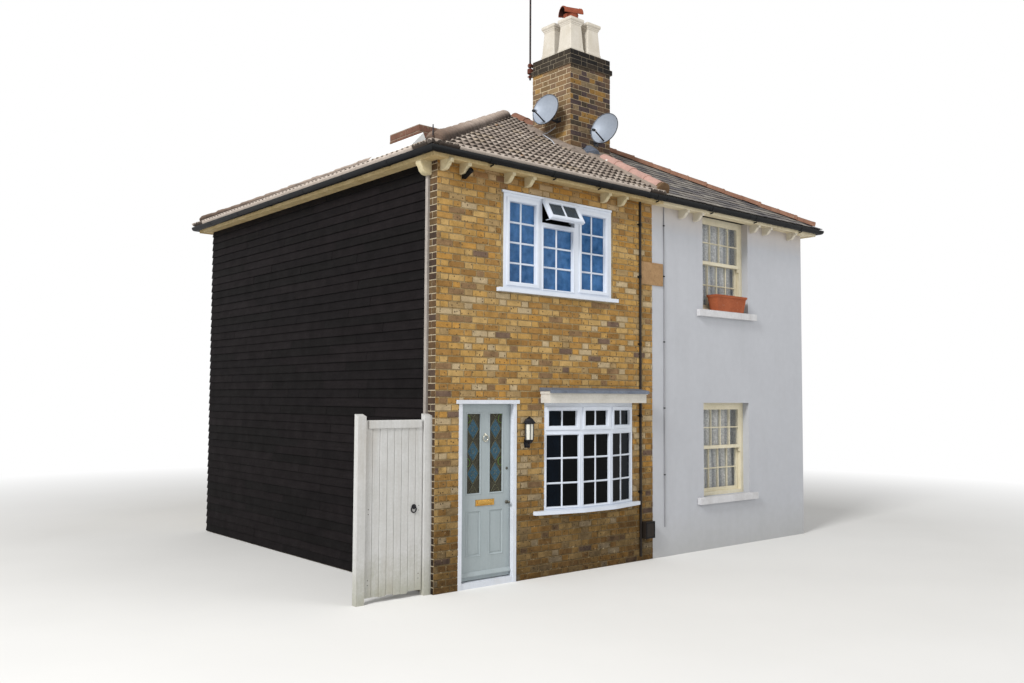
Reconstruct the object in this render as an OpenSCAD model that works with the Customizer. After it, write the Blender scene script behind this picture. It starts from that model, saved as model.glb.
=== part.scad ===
// A pair of small terraced cottages under one hipped roof.
// The left house has a stock brick front, the right one is rendered.
// Millimetres, +Z up, street side towards -Y.
// The origin is on the ground, on the party line, under the apex of the roof.

/* [Building] */
// Width of each house, from its flank to the party line
house_w = 3612; // [3300:1:3950]
// Depth of the houses, from the front face to the rear face
house_d = 6100; // [5600:1:7000]
// Height of the underside of the soffit
eaves_h = 4760; // [4400:1:5300]
// Thickness of the outer walls
wall_t = 215; // [200:1:240]
// Thickness of the party wall
party_t = 215; // [150:1:300]
// Width of render past the party line, on the brick house
render_lap = 25; // [0:1:60]
// Thickness of the weatherboarding on the left flank
board_t = 26; // [16:1:40]
// Length of bare brickwork on the left flank, at the front corner
return_l = 133; // [120:1:150]

// Width of the pale board where the weatherboarding starts
corner_board_w = 47; // [35:1:60]

/* [Floors] */
// Height of the ground floor
floor_h = 70; // [40:1:75]
// Height of the upper floor
upper_floor_h = 2560; // [2450:1:2800]
// Thickness of the upper floor with its ceiling
upper_floor_t = 200; // [150:1:260]
// Thickness of the ceiling below the loft
ceiling_t = 60; // [30:1:90]

/* [Roof] */
// Height of the apex above the soffit
apex_rise = 1940; // [1600:1:2300]
// Reach of the tiles past the wall face
tile_reach = 210; // [195:1:225]
// Height of the lowest tiles above the soffit
tile_rise = 105; // [95:1:115]
// Thickness of the lowest tiles
tile_t = 40; // [25:1:45]
// Depth of the roof at the apex, rafters and tiles
roof_t = 208; // [180:1:260]
// Radius of the concrete hip tiles
hip_r = 122; // [90:1:150]
// Radius of the clay hip tiles
clay_r = 96; // [70:1:120]
// Radius of the ridge tiles on the party line
party_ridge_r = 150; // [125:1:165]
// Radius of the ridge tiles between the stack and the apex
apex_ridge_r = 95; // [80:1:110]

/* [Eaves] */
// Width of the soffit, from the wall to the back of the fascia
soffit_w = 150; // [120:1:155]
// Thickness of the soffit
soffit_t = 15; // [9:1:22]
// Thickness of the fascia
fascia_t = 20; // [15:1:25]
// Height of the fascia
fascia_h = 88; // [75:1:95]
// Outer radius of the gutter
gutter_r = 47; // [42:1:56]
// Height of the gutter's straight sides
gutter_side = 16; // [10:1:30]
// Wall of the gutter
gutter_t = 4; // [3:1:6]
// Reach of the eaves brackets from the wall
bracket_reach = 145; // [110:1:148]
// Depth of the eaves brackets at the wall
bracket_h = 125; // [90:1:160]
// Thickness of the eaves brackets
bracket_t = 90; // [60:1:110]
// Distance between the centres of the two brackets of a pair
bracket_pitch = 320; // [260:1:360]

/* [Chimney] */
// Width of the stack
stack_w = 820; // [700:1:900]
// Depth of the stack
stack_d = 810; // [700:1:900]
// Distance from the front face of the house to the stack
stack_back = 1200; // [1000:1:1500]
// Height of the stack above the apex of the roof
stack_rise = 490; // [400:1:700]
// Shift of the stack's centre from the party line
stack_shift = 12; // [-60:1:60]
// Projection of the band course
band_out = 25; // [10:1:40]
// Height of the band course
band_h = 75; // [60:1:90]
// Distance from the top of the stack to the foot of the band course
band_drop = 225; // [180:1:300]
// Width of a pot at its foot
pot_w = 285; // [240:1:320]
// Height of the pots
pot_h = 500; // [400:1:600]
// Gap between the pots
pot_gap = 66; // [40:1:90]
// Bore of the pots
pot_bore = 190; // [150:1:200]
// Length of the half-round clay cowl
cowl_l = 300; // [260:1:360]
// Outer radius of the clay cowl
cowl_r = 122; // [112:1:140]

/* [Stub chimney] */
// Distance from the left flank to the stub
stub_x = 200; // [150:1:300]
// Distance from the front face to the stub
stub_y = 650; // [560:1:800]
// Width of the stub
stub_w = 290; // [240:1:340]
// Length of the stub
stub_l = 620; // [500:1:700]
// Height of the top of the stub above the soffit
stub_rise = 585; // [540:1:650]

/* [Dishes and mast] */
// Radius of a dish
dish_r = 232; // [200:1:260]
// Radius of curvature of a dish
dish_curve = 430; // [380:1:500]
// Thickness of a dish
dish_t = 8; // [5:1:10]
// Height of the left dish's centre above the soffit
left_dish_rise = 1503; // [1450:1:1600]
// Height of the right dish's centre above the soffit
right_dish_rise = 1242; // [1200:1:1320]
// Radius of the aerial mast
mast_r = 14; // [10:1:20]
// Height of the mast above the stack
mast_rise = 1060; // [800:1:1100]

/* [Front door] */
// Distance from the brick corner to the door frame
door_x = 327; // [310:1:360]
// Width of the door frame
door_w = 844; // [820:1:880]
// Height of the door frame
door_h = 2103; // [2080:1:2140]
// Width of the frame's face
door_face = 46; // [40:1:52]
// Set-back of the door leaf from the wall face
leaf_back = 55; // [45:1:70]
// Thickness of the door leaf
leaf_t = 44; // [38:1:50]
// Clearance round the door leaf
leaf_gap = 7; // [6:1:9]
// Width of each glazed panel
lite_w = 204; // [180:1:215]
// Distance between the two glazed panels
lite_gap = 125; // [105:1:140]
// Height of the foot of the glazed panels
lite_foot = 1030; // [1000:1:1080]
// Height of the head of the glazed panels
lite_head = 1962; // [1900:1:1980]
// Height of the foot of the lower panels
panel_foot = 340; // [300:1:400]
// Height of the head of the lower panels
panel_head = 850; // [820:1:880]

/* [Upper window] */
// Distance from the brick corner to the window
upper_x = 957; // [930:1:1000]
// Width of the window
upper_w = 1820; // [1810:1:1850]
// Height of the window
upper_h = 1141; // [1100:1:1200]
// Distance from the window's head up to the soffit
upper_drop = 209; // [190:1:260]
// Depth of the window frame
frame_d = 62; // [50:1:80]
// Reach of a sill past the wall face
sill_out = 62; // [40:1:80]
// Opening angle of the small top-hung light
light_angle = 30; // [15:1:40]

/* [Bow window] */
// Brickwork between the door frame and the bow window
bow_left_gap = 443; // [300:1:520]
// Brickwork between the bow window and the party line
bow_right_gap = 427; // [350:1:560]
// Projection of the bow window's middle light
bow_out = 115; // [90:1:130]
// Width of the bow window's middle light
bow_mid = 530; // [500:1:560]
// Height of the bow window's sill
bow_foot = 785; // [760:1:810]
// Thickness of the bow window's sill
bow_sill_t = 45; // [30:1:60]
// Reach of the cornice past the wall face
cornice_out = 172; // [165:1:200]
// Height of the cornice's foot
cornice_foot = 2070; // [2050:1:2080]

/* [Sash windows] */
// Distance from the party line to the sash windows
sash_x = 1078; // [1040:1:1120]
// Width of a sash window
sash_w = 1090; // [1060:1:1120]
// Distance between the party line and the sash windows at the rear
rear_sash_x = 760; // [640:1:820]
// Height of the upper sash windows, up to the soffit
sash_upper_h = 1360; // [1300:1:1420]
// Height of the foot of the lower sash windows
sash_lower_foot = 740; // [700:1:800]
// Height of the head of the lower sash windows
sash_lower_head = 2070; // [2050:1:2100]
// Depth of the reveal in front of a sash window
reveal = 110; // [95:1:115]
// Depth of a sash window's frame
box_d = 92; // [84:1:98]
// Width of a sash window's box frame
box_w = 62; // [50:1:75]
// Width of a sash's stiles and rails
stile_w = 48; // [40:1:55]

/* [Side gate] */
// Width of the gate leaf
gate_w = 722; // [680:1:760]
// Height of the top of the gate leaf
gate_h = 1888; // [1850:1:1940]
// Thickness of the gate's boards
gate_board_t = 22; // [18:1:28]
// Thickness of the rails on the gate
gate_rail_t = 24; // [18:1:30]
// Height of a rail on the gate
gate_rail_h = 110; // [80:1:130]
// Width of a gate post
post_w = 98; // [80:1:105]
// Height of a gate post
post_h = 1953; // [1945:1:2050]
// Clearance round the gate leaf
gate_gap = 9; // [8:1:14]
// Set-back of the gate from the front face of the house
gate_back = 70; // [60:1:76]

/* [Hidden] */
$fn = 48;

// Places worked out from the sizes above
front_y = -house_d / 2;
wall_top = eaves_h + soffit_t;
apex_z = eaves_h + apex_rise;
loft_z = apex_z - roof_t;
toe_z = eaves_h + tile_rise;
front_slope = (apex_z - toe_z) / (house_d / 2 + tile_reach);
side_slope = (apex_z - toe_z) / (house_w + tile_reach);
fascia_out = soffit_w + fascia_t;
fascia_top = wall_top - soffit_t + fascia_h - 12;
stack_h = apex_z + stack_rise;
left_dish_h = eaves_h + left_dish_rise;
right_dish_h = eaves_h + right_dish_rise;
upper_head = eaves_h - upper_drop;
upper_foot = upper_head - upper_h;
sash_upper_foot = eaves_h - sash_upper_h;
door_end = door_x + door_w;
bow_x = door_end + bow_left_gap;
bow_w = house_w - bow_right_gap - bow_x;
stack_x = stack_shift - stack_w / 2;
stack_y = front_y + stack_back;
half_party = party_t / 2;
beyond = 400;
far = 12000;
seen = 1;

// A place on the brick house, measured from its front corner
function lx(v) = v - house_w;
// A place behind the front face
function fy(v) = front_y + v;

// A plain block between two corners
module block(x, y, z) {
    translate([x[0], y[0], z[0]]) cube([x[1] - x[0], y[1] - y[0], z[1] - z[0]]);
}

// An outline in Y and Z, carried along X
module along_x(x0, x1) {
    translate([x0, 0, 0]) rotate([90, 0, 90]) linear_extrude(x1 - x0) children();
}

// An outline in X and Z, carried along Y
module along_y(y0, y1) {
    translate([0, y1, 0]) rotate([90, 0, 0]) linear_extrude(y1 - y0) children();
}

// A block that tapers from its foot to its head, with straight sides
module taper(foot, head, h, foot_d = 0, head_d = 0) {
    fd = foot_d > 0 ? foot_d : foot;
    hd = head_d > 0 ? head_d : head;
    intersection() {
        along_y(-far / 10, far / 10)
            polygon([[-foot / 2, 0], [foot / 2, 0], [head / 2, h], [-head / 2, h]]);
        along_x(-far / 10, far / 10)
            polygon([[-fd / 2, 0], [fd / 2, 0], [hd / 2, h], [-hd / 2, h]]);
    }
}

// A rod from one point to another
module rod(a, b, r) {
    v = b - a;
    translate(a) rotate([0, acos(v[2] / norm(v)), atan2(v[1], v[0])]) cylinder(h = norm(v), r = r);
}

// Outline of the whole roof across one direction, from eave to eave
module roof_outline(half, slope) {
    toe = half + tile_reach;
    seat = half + soffit_w;
    seat_z = toe_z - tile_t + slope * (toe - seat);
    polygon([
        [-toe, toe_z], [0, apex_z], [toe, toe_z], [toe, toe_z - tile_t], [seat, seat_z],
        [seat, wall_top], [-seat, wall_top], [-seat, seat_z], [-toe, toe_z - tile_t]
    ]);
}

// The roof as one mass, down to the top of the walls
module roof_mass() {
    intersection() {
        along_x(-far, far) roof_outline(house_d / 2, front_slope);
        along_y(-far, far) roof_outline(house_w, side_slope);
    }
}

// The space under the rafters
module loft() {
    intersection() {
        along_x(-far, far) polygon([[front_y, wall_top], [0, loft_z], [-front_y, wall_top]]);
        along_y(-far, far) polygon([[-house_w, wall_top], [0, loft_z], [house_w, wall_top]]);
    }
}

// Everything under the roof planes, run on past the eaves; rise lifts the planes
module below_roof(rise = 0) {
    top = apex_z + rise;
    run_y = house_d / 2 + tile_reach + beyond;
    run_x = house_w + tile_reach + beyond;
    intersection() {
        along_x(-far, far)
            polygon([[-run_y, top - run_y * front_slope], [0, top], [run_y, top - run_y * front_slope]]);
        along_y(-far, far)
            polygon([[-run_x, top - run_x * side_slope], [0, top], [run_x, top - run_x * side_slope]]);
    }
}

// The space that the chimney takes, from the ground up
module stack_space() {
    block([stack_x, stack_x + stack_w], [stack_y, stack_y + stack_d], [0, stack_h]);
}

// Hole for a sash window in a front wall
module sash_hole(x, foot, head) {
    block([x, x + sash_w], [fy(-1), fy(wall_t + 1)], [foot, head]);
}

/* Outer walls */

module front_wall_door_pier() {
    color("#a98550") block([lx(0), lx(door_x)], [fy(0), fy(wall_t)], [0, door_h]);
}

module front_wall_lower() {
    color("#a98550") difference() {
        block([lx(door_x + door_w), -render_lap], [fy(0), fy(wall_t)], [0, door_h]);
        block([lx(bow_x), lx(bow_x + bow_w)], [fy(-1), fy(wall_t + 1)], [bow_foot, door_h + 1]);
    }
}

module front_wall_upper() {
    color("#a98550") difference() {
        block([lx(0), -render_lap], [fy(0), fy(wall_t)], [door_h, wall_top]);
        block([lx(upper_x), lx(upper_x + upper_w)], [fy(-1), fy(wall_t + 1)], [upper_foot, upper_head]);
    }
}

module rendered_front_wall() {
    color("#c9c9cc") difference() {
        block([-render_lap, house_w], [fy(0), fy(wall_t)], [0, wall_top]);
        sash_hole(sash_x, sash_upper_foot, wall_top + 1);
        sash_hole(sash_x, sash_lower_foot, sash_lower_head);
    }
}

module side_wall() {
    color("#8f7a5c") block([lx(0), lx(wall_t)], [fy(wall_t), -fy(wall_t)], [0, wall_top]);
}

module weatherboarding() {
    board_y = return_l + corner_board_w;
    color("#32262a") {
        block([lx(-board_t - 6), lx(0)], [fy(return_l), fy(board_y)], [0, eaves_h]);
        block([lx(-board_t), lx(0)], [fy(board_y + 1), -fy(0)], [0, eaves_h]);
    }
}

side_door_y = 900;
closed_door_w = 860;
closed_door_h = 2080;

module rendered_side_wall() {
    color("#c9c9cc") difference() {
        block([house_w - wall_t, house_w], [fy(wall_t), -fy(wall_t)], [0, wall_top]);
        block([house_w - wall_t - 1, house_w + 1], [side_door_y, side_door_y + closed_door_w],
              [-1, closed_door_h]);
    }
}

rear_door_gap = 280;
rear_door_x = rear_sash_x + sash_w + rear_door_gap;

// Sash holes of a rear wall
module rear_holes() {
    mirror([0, 1, 0]) {
        sash_hole(rear_sash_x, sash_upper_foot, wall_top + 1);
        sash_hole(rear_sash_x, sash_lower_foot, sash_lower_head);
    }
}

module rear_wall_brick() {
    color("#a98550") difference() {
        block([lx(0), 0], [-fy(wall_t), -fy(0)], [0, wall_top]);
        mirror([1, 0, 0]) rear_holes();
        block([-rear_door_x - closed_door_w, -rear_door_x], [-fy(wall_t + 1), -fy(-1)], [-1, closed_door_h]);
    }
}

module rear_wall_rendered() {
    color("#c9c9cc") difference() {
        block([0, house_w], [-fy(wall_t), -fy(0)], [0, wall_top]);
        rear_holes();
    }
}

module party_wall() {
    color("#9a8a72") difference() {
        intersection() {
            block([-half_party, half_party], [fy(wall_t), -fy(wall_t)], [0, apex_z]);
            union() {
                block([-house_w, house_w], [fy(0), -fy(0)], [0, wall_top]);
                loft();
            }
        }
        stack_space();
    }
}

/* Floors */

module room_slab(z0, z1) {
    difference() {
        block([lx(wall_t), -half_party], [fy(wall_t), -fy(wall_t)], [z0, z1]);
        stack_space();
    }
    difference() {
        block([half_party, house_w - wall_t], [fy(wall_t), -fy(wall_t)], [z0, z1]);
        stack_space();
    }
}

module floors() {
    color("#9c7d58") {
        room_slab(0, floor_h);
        room_slab(upper_floor_h - upper_floor_t, upper_floor_h);
        room_slab(wall_top - ceiling_t, wall_top);
    }
}

/* Chimney */

module chimney_stack() {
    band_z = stack_h - band_drop;
    color("#8c6f45") union() {
        stack_space();
        block([stack_x - band_out, stack_x + stack_w + band_out],
              [stack_y - band_out, stack_y + stack_d + band_out], [band_z, band_z + band_h]);
    }
}

pot_inset = 25;
pot_pitch = pot_w + pot_gap;
pot_foot_h = 55;
pot_cap_h = 70;
pot_neck_w = pot_w - 62;

module pot() {
    difference() {
        union() {
            taper(pot_w, pot_w - 8, pot_foot_h);
            translate([0, 0, pot_foot_h]) taper(pot_w - 22, pot_neck_w, pot_h - pot_foot_h - pot_cap_h);
            translate([0, 0, pot_h - pot_cap_h]) taper(pot_neck_w, pot_w - 14, pot_cap_h / 2);
            translate([0, 0, pot_h - pot_cap_h / 2]) taper(pot_w, pot_w - 6, pot_cap_h / 2);
        }
        translate([0, 0, pot_foot_h]) cylinder(h = pot_h, r = pot_bore / 2);
    }
}

// Centre of the front left pot
pot_x = stack_x + pot_inset + pot_w / 2;
pot_y = stack_y + pot_inset + pot_w / 2;

module chimney_pots() {
    color("#efe3c8") for (i = [0, 1], j = [0, 1])
        translate([pot_x + i * pot_pitch, pot_y + j * pot_pitch, stack_h]) pot();
}

cowl_neck_r = 116;
cowl_neck_h = 76;
cowl_wall = 18;
cowl_turn = -19;

// A short round neck under a half-round tile that lies across it
module chimney_cowl() {
    saddle = cowl_r - cowl_wall;
    color("#c9502c") translate([pot_x, pot_y, stack_h + pot_h]) rotate([0, 0, cowl_turn]) {
        difference() {
            union() {
                cylinder(h = cowl_neck_h, r = cowl_neck_r);
                translate([0, 0, cowl_neck_h - 4]) rotate([90, 0, 90])
                    linear_extrude(cowl_l, center = true) difference() {
                        circle(r = cowl_r);
                        circle(r = saddle);
                        translate([-cowl_r, -cowl_r - 20]) square([2 * cowl_r, cowl_r + 20]);
                    }
            }
            translate([0, 0, -seen]) cylinder(h = cowl_neck_h + 2 * seen, r = pot_bore / 2);
        }
    }
}

flaunch_w = 75;
flaunch_rise = 58;
apron_side = 70;
apron_front = 190;
apron_toe = 250;
apron_t = 27;
apron_rise = 143;

apron_end = stub_x + stub_w + apron_side;

// Height of the left slope of the roof at a distance from the left flank
function side_z(v) = toe_z + (v + tile_reach) * side_slope;

// Mortar round the foot of the stack, and the pale apron round the stub
module mortar_flaunching() {
    color("#b9ada0") difference() {
        intersection() {
            block([stack_x - flaunch_w, stack_x + stack_w + flaunch_w],
                  [stack_y - flaunch_w, stack_y + stack_d + flaunch_w], [wall_top, stack_h]);
            below_roof(flaunch_rise);
        }
        below_roof(seat_gap);
        stack_space();
    }
    color("#e6e6e4") difference() {
        along_y(fy(stub_y - apron_front), fy(stub_y + stub_l + apron_side)) polygon([
            [lx(stub_x - apron_toe), wall_top], [lx(stub_x - apron_toe), side_z(stub_x - apron_toe) + apron_t],
            [lx(stub_x), side_z(stub_x) + apron_rise], [lx(apron_end), side_z(apron_end) + apron_t],
            [lx(apron_end), wall_top]
        ]);
        below_roof(seat_gap);
        stub_space();
        hip_rod(-1, -1, hip_r + 2);
    }
}

module stub_space() {
    block([lx(stub_x), lx(stub_x + stub_w)], [fy(stub_y), fy(stub_y + stub_l)],
          [wall_top, eaves_h + stub_rise]);
}

module stub_chimney() {
    color("#8a5a44") difference() {
        stub_space();
        below_roof(seat_gap);
    }
}

/* Roof */

module roof_shell() {
    difference() {
        roof_mass();
        loft();
        stack_space();
    }
}

module tiled_roof() {
    color("#6f6257") intersection() {
        roof_shell();
        block([-far, 0], [-far, far], [0, far]);
    }
}

module slate_roof() {
    color("#7b7f87") intersection() {
        roof_shell();
        block([0, far], [-far, far], [0, far]);
    }
}

// Gap that mortar, hips and brickwork keep to the roof they sit on
seat_gap = 0.1;

// Line of one hip, on the side sx and the end sy
module hip_rod(sx, sy, r) {
    rod([sx * (house_w + tile_reach), sy * (house_d / 2 + tile_reach), toe_z], [0, 0, apex_z], r);
}

hip_gap = 0.2;
hip_stop = 230;

// Round tiles bedded along one hip
module hip(sx, sy, r) {
    difference() {
        intersection() {
            hip_rod(sx, sy, r);
            block([sx > 0 ? hip_stop : -far, sx > 0 ? far : -hip_stop],
                  [sy > 0 ? hip_gap : -far, sy > 0 ? far : -hip_gap], [gutter_top + 3, far]);
        }
        below_roof(seat_gap);
    }
}

module concrete_hip_tiles() {
    color("#5d5247") {
        hip(-1, -1, hip_r);
        hip(-1, 1, hip_r);
    }
}

module clay_hip_tiles() {
    color("#9a5a45") {
        hip(1, -1, clay_r);
        hip(1, 1, clay_r);
    }
}

// A stretch of the party ridge between two places across the house
module party_ridge(y0, y1, r) {
    toe = house_d / 2 + tile_reach;
    difference() {
        intersection() {
            rod([0, sign(y0 + y1) * toe, toe_z], [0, 0, apex_z], r);
            block([-far, far], [y0, y1], [gutter_top + 3, far]);
        }
        below_roof(seat_gap);
    }
}

module party_ridge_tiles() {
    toe = house_d / 2 + tile_reach;
    color("#c98a74") {
        party_ridge(-toe, stack_y - flaunch_w, party_ridge_r);
        party_ridge(stack_y + stack_d + flaunch_w, -hip_gap, apex_ridge_r);
        party_ridge(hip_gap, toe, party_ridge_r);
    }
}

/* Eaves */

// Soffit and fascia of one side: outline with the wall face at zero and the street on the left
module eaves_outline() {
    polygon([
        [-fascia_out, fascia_top - fascia_h], [-soffit_w, fascia_top - fascia_h], [-soffit_w, eaves_h],
        [0, eaves_h], [0, wall_top], [-soffit_w, wall_top], [-soffit_w, fascia_top],
        [-fascia_out, fascia_top]
    ]);
}

gutter_top = fascia_top + 4;

module gutter_outline() {
    inner = gutter_r - gutter_t;
    translate([-fascia_out - gutter_r, gutter_top - gutter_side]) difference() {
        union() {
            circle(r = gutter_r);
            translate([-gutter_r, 0]) square([2 * gutter_r, gutter_r]);
        }
        circle(r = inner);
        translate([-inner, 0]) square([2 * inner, gutter_r]);
        translate([-gutter_r - 1, gutter_side]) square([2 * gutter_r + 2, gutter_r + 1]);
    }
}

mitre_gap = 0.5;

// Runs an outline along the front and rear eaves, with mitred ends that reach past the walls
module eaves_run(half_w, half_d, reach) {
    for (turn = [0, 180]) rotate([0, 0, turn]) intersection() {
        along_x(-half_w - reach, half_w + reach) translate([-half_d, 0]) children();
        linear_extrude(far) polygon([
            [-half_w - reach - 1, -half_d - reach - 1 - mitre_gap],
            [half_w + reach + 1, -half_d - reach - 1 - mitre_gap],
            [half_w, -half_d - mitre_gap], [half_w, -half_d + 1], [-half_w, -half_d + 1],
            [-half_w, -half_d - mitre_gap]
        ]);
    }
}

// The four sides of the eaves
module all_eaves(reach) {
    eaves_run(house_w, house_d / 2, reach) children();
    rotate([0, 0, 90]) eaves_run(house_d / 2, house_w, reach) children();
}

module eaves_boards() {
    color("#e9e2cf") all_eaves(fascia_out) eaves_outline();
}

module gutters() {
    color("#24252a") all_eaves(fascia_out + 2 * gutter_r) gutter_outline();
}

// Side view of an eaves bracket: deep at the wall, hollowed below, with a small nose
module bracket_outline() {
    nose = bracket_h * 0.3;
    hollow = bracket_h - nose;
    difference() {
        translate([-bracket_reach, -bracket_h]) square([bracket_reach, bracket_h]);
        translate([-bracket_reach, -bracket_h]) circle(r = hollow);
    }
}

// Centres of the bracket pairs, from the brick corner and from the party line
brick_pairs = [172, 1148, 2768];
render_pairs = [730, 2412, house_w - 212];
// Reach and depth of the corner bracket on the flank
corner_reach = 145;
corner_h = 200;

module bracket_pair(x) {
    for (side = [-1, 1]) let (c = x + side * bracket_pitch / 2)
        along_x(c - bracket_t / 2, c + bracket_t / 2)
            translate([front_y, eaves_h]) bracket_outline();
}

module eaves_brackets() {
    color("#eee6d2") {
        for (x = brick_pairs) bracket_pair(lx(x));
        for (x = render_pairs) bracket_pair(x);
        along_y(fy(8), fy(8 + bracket_t)) translate([lx(0), eaves_h]) difference() {
            translate([-corner_reach, -corner_h]) square([corner_reach, corner_h]);
            translate([-corner_reach, -corner_h]) circle(r = corner_h * 0.45);
        }
    }
}

/* Dishes and mast */

arm_l = 300;
dish_turn = 189;
dish_tilt = 79;
dish_stem = 80;

// A dish that looks along its own Z, with its arm, feed and stem
module dish() {
    foot = dish_r * 0.86;
    union() {
        intersection() {
            translate([0, 0, dish_curve]) difference() {
                sphere(r = dish_curve);
                sphere(r = dish_curve - dish_t);
            }
            cylinder(h = dish_curve / 2, r = dish_r);
        }
        rod([foot - 12, 0, 45], [dish_r * 0.55, 0, arm_l], 9);
        rod([dish_r * 0.54, 0, arm_l - 12], [dish_r * 0.62, 0, arm_l + 34], 20);
        translate([0, 0, -dish_stem]) cylinder(h = dish_stem + dish_t / 2, r = 14);
        translate([-60, -45, -22]) cube([120, 90, 24]);
    }
}

left_dish_out = 225;
left_dish_y = 230;
right_dish_out = 300;
right_dish_x = 444;

// Back end of the stem of a dish whose centre is at p
function dish_back(p) = p - dish_stem * [
    cos(dish_turn) * sin(dish_tilt), sin(dish_turn) * sin(dish_tilt), cos(dish_tilt)
];

// A dish at p on a crooked arm, which starts inside a small plate on the wall
module dish_on(p, wall) {
    back = dish_back(p);
    translate(p) rotate([0, 0, dish_turn]) rotate([0, dish_tilt, 0]) dish();
    translate([back[0], back[1], wall[2] - 20]) cylinder(h = back[2] - wall[2] + 45, r = 20);
    rod([back[0], back[1], wall[2]], wall, 15);
}

module satellite_dishes() {
    left = [stack_x - left_dish_out, stack_y + left_dish_y, left_dish_h];
    right = [stack_x + right_dish_x, stack_y - right_dish_out, right_dish_h];
    left_wall_y = dish_back(left)[1];
    right_wall_x = dish_back(right)[0];
    color("#c6c9cc") {
        union() {
            dish_on(left, [stack_x - 2, left_wall_y, left[2] - 110]);
            block([stack_x - 8, stack_x], [left_wall_y - 55, left_wall_y + 55],
                  [left[2] - 180, left[2] - 40]);
        }
        union() {
            dish_on(right, [right_wall_x, stack_y - 2, right[2] - 110]);
            block([right_wall_x - 55, right_wall_x + 55], [stack_y - 8, stack_y],
                  [right[2] - 180, right[2] - 40]);
        }
    }
}

mast_start = 255;
mast_off = 52;
clamp_h = 34;
clamp_w = 24;
clamp_reach = 110;
clamp_drops = [48, 132];

// The mast stands off the back of the stack on two clamps, at its left corner
module aerial_mast() {
    x = stack_x - 14;
    y = stack_y + stack_d;
    color("#4a4648") union() {
        translate([x, y + mast_off, stack_h - mast_start]) cylinder(h = mast_rise + mast_start, r = mast_r);
        for (drop = clamp_drops) {
            z = [stack_h - drop, stack_h - drop + clamp_h];
            block([x - clamp_w, x + clamp_reach], [y + mast_off - clamp_w, y + mast_off + clamp_w], z);
            block([x + clamp_reach - clamp_w, x + clamp_reach], [y, y + mast_off], z);
        }
    }
}

/* Windows */

// Lights of the upper window: left edge, width, foot and head of each opening
light_foot = upper_foot + 82;
light_head = upper_head - 100;
mid_x = 630;
mid_w = 506;
transom_z = upper_head - 344;
fan_foot = transom_z + 50;
fan_head = upper_head - 42;
upper_lights = [
    [90, 425, light_foot, light_head],
    [mid_x, mid_w, light_foot - 45, transom_z],
    [1280, 437, light_foot, light_head]
];

module upper_window_frame() {
    color("#f4f6fa") difference() {
        union() {
            block([lx(upper_x), lx(upper_x + upper_w)], [fy(-8), fy(frame_d)], [upper_foot, upper_head]);
            block([lx(upper_x - 100), lx(upper_x + upper_w + 88)], [fy(-sill_out), fy(0)],
                  [upper_foot - 45, upper_foot]);
            block([lx(upper_x - 30), lx(upper_x + upper_w)], [fy(-22), fy(-0)],
                  [upper_head - 12, upper_head + 14]);
        }
        for (l = upper_lights)
            block([lx(upper_x + l[0]), lx(upper_x + l[0] + l[1])], [fy(-30), fy(frame_d + 1)], [l[2], l[3]]);
        block([lx(upper_x + mid_x - 22), lx(upper_x + mid_x + mid_w + 22)], [fy(-30), fy(frame_d + 1)],
              [fan_foot, fan_head]);
    }
    color("#f4f6fa") fan_place() fan_sash();
}

fan_h = 285;
fan_t = 44;
fan_face = 46;

// The top-hung light, with its hinge edge at the origin and hanging down
module fan_sash() {
    w = mid_w + 60;
    difference() {
        block([0, w], [-fan_t, 0], [-fan_h, 0]);
        block([fan_face, w - fan_face], [-fan_t - 1, 1], [-fan_h + fan_face, -fan_face]);
    }
}

module fan_place() {
    translate([lx(upper_x + mid_x - 30), fy(-8.2), fan_head + 12]) rotate([-light_angle, 0, 0]) children();
}

// Corners of the bow window's face: left end, two mullions, right end
bow_corner = (bow_w - bow_mid) / 2;
bow_face = [[0, 0], [bow_corner, -bow_out], [bow_corner + bow_mid, -bow_out], [bow_w, 0]];
bow_head = door_h;
bow_bottom_rail = 30;
bow_transom = 1685;
bow_fan_foot = 1786;
bow_fan_head = 1979;

// Places its children on light i of the bow window, with X along the light
module on_bow(i) {
    a = bow_face[i];
    b = bow_face[i + 1];
    translate([lx(bow_x) + a[0], fy(a[1]), 0]) rotate([0, 0, atan2(b[1] - a[1], b[0] - a[0])]) children();
}

function bow_light(i) = norm(bow_face[i + 1] - bow_face[i]);

bow_side = 34;
bow_fan_side = 66;

module bow_plan() {
    translate([lx(bow_x), front_y]) polygon(concat(bow_face, [
        [bow_w, frame_d], [bow_corner + bow_mid, frame_d - bow_out], [bow_corner, frame_d - bow_out],
        [0, frame_d]
    ]));
}

module bow_window_frame() {
    color("#f4f6fa") difference() {
        union() {
            translate([0, 0, bow_foot]) linear_extrude(bow_head - bow_foot) bow_plan();
            translate([lx(bow_x), front_y, bow_foot - bow_sill_t]) linear_extrude(bow_sill_t) polygon([
                [-172, 0], [-160, -52], [bow_corner - 20, -bow_out - 75],
                [bow_corner + bow_mid + 20, -bow_out - 75], [bow_w + 100, -52], [bow_w + 108, 0]
            ]);
        }
        for (i = [0 : 2]) on_bow(i) {
            block([bow_side, bow_light(i) - bow_side], [-50, frame_d * 2],
                  [bow_foot + bow_bottom_rail, bow_transom]);
            block([bow_fan_side, bow_light(i) - bow_fan_side], [-50, frame_d * 2],
                  [bow_fan_foot, bow_fan_head]);
        }
    }
}

cornice_l = 58;
cornice_r = 88;
cornice_step = 108;
cornice_h = 144;

module bow_window_cornice() {
    x = [lx(bow_x - cornice_l), lx(bow_x + bow_w + cornice_r)];
    color("#efe8d6") difference() {
        union() {
            block(x, [fy(-cornice_out), fy(0)], [cornice_foot, cornice_foot + cornice_step]);
            block([x[0] - 10, x[1] + 10], [fy(-cornice_out - 16), fy(0)],
                  [cornice_foot + cornice_step, cornice_foot + cornice_h]);
        }
        translate([0, 0, cornice_foot - 1]) linear_extrude(bow_head - cornice_foot + 1) bow_plan_full();
    }
}

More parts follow.
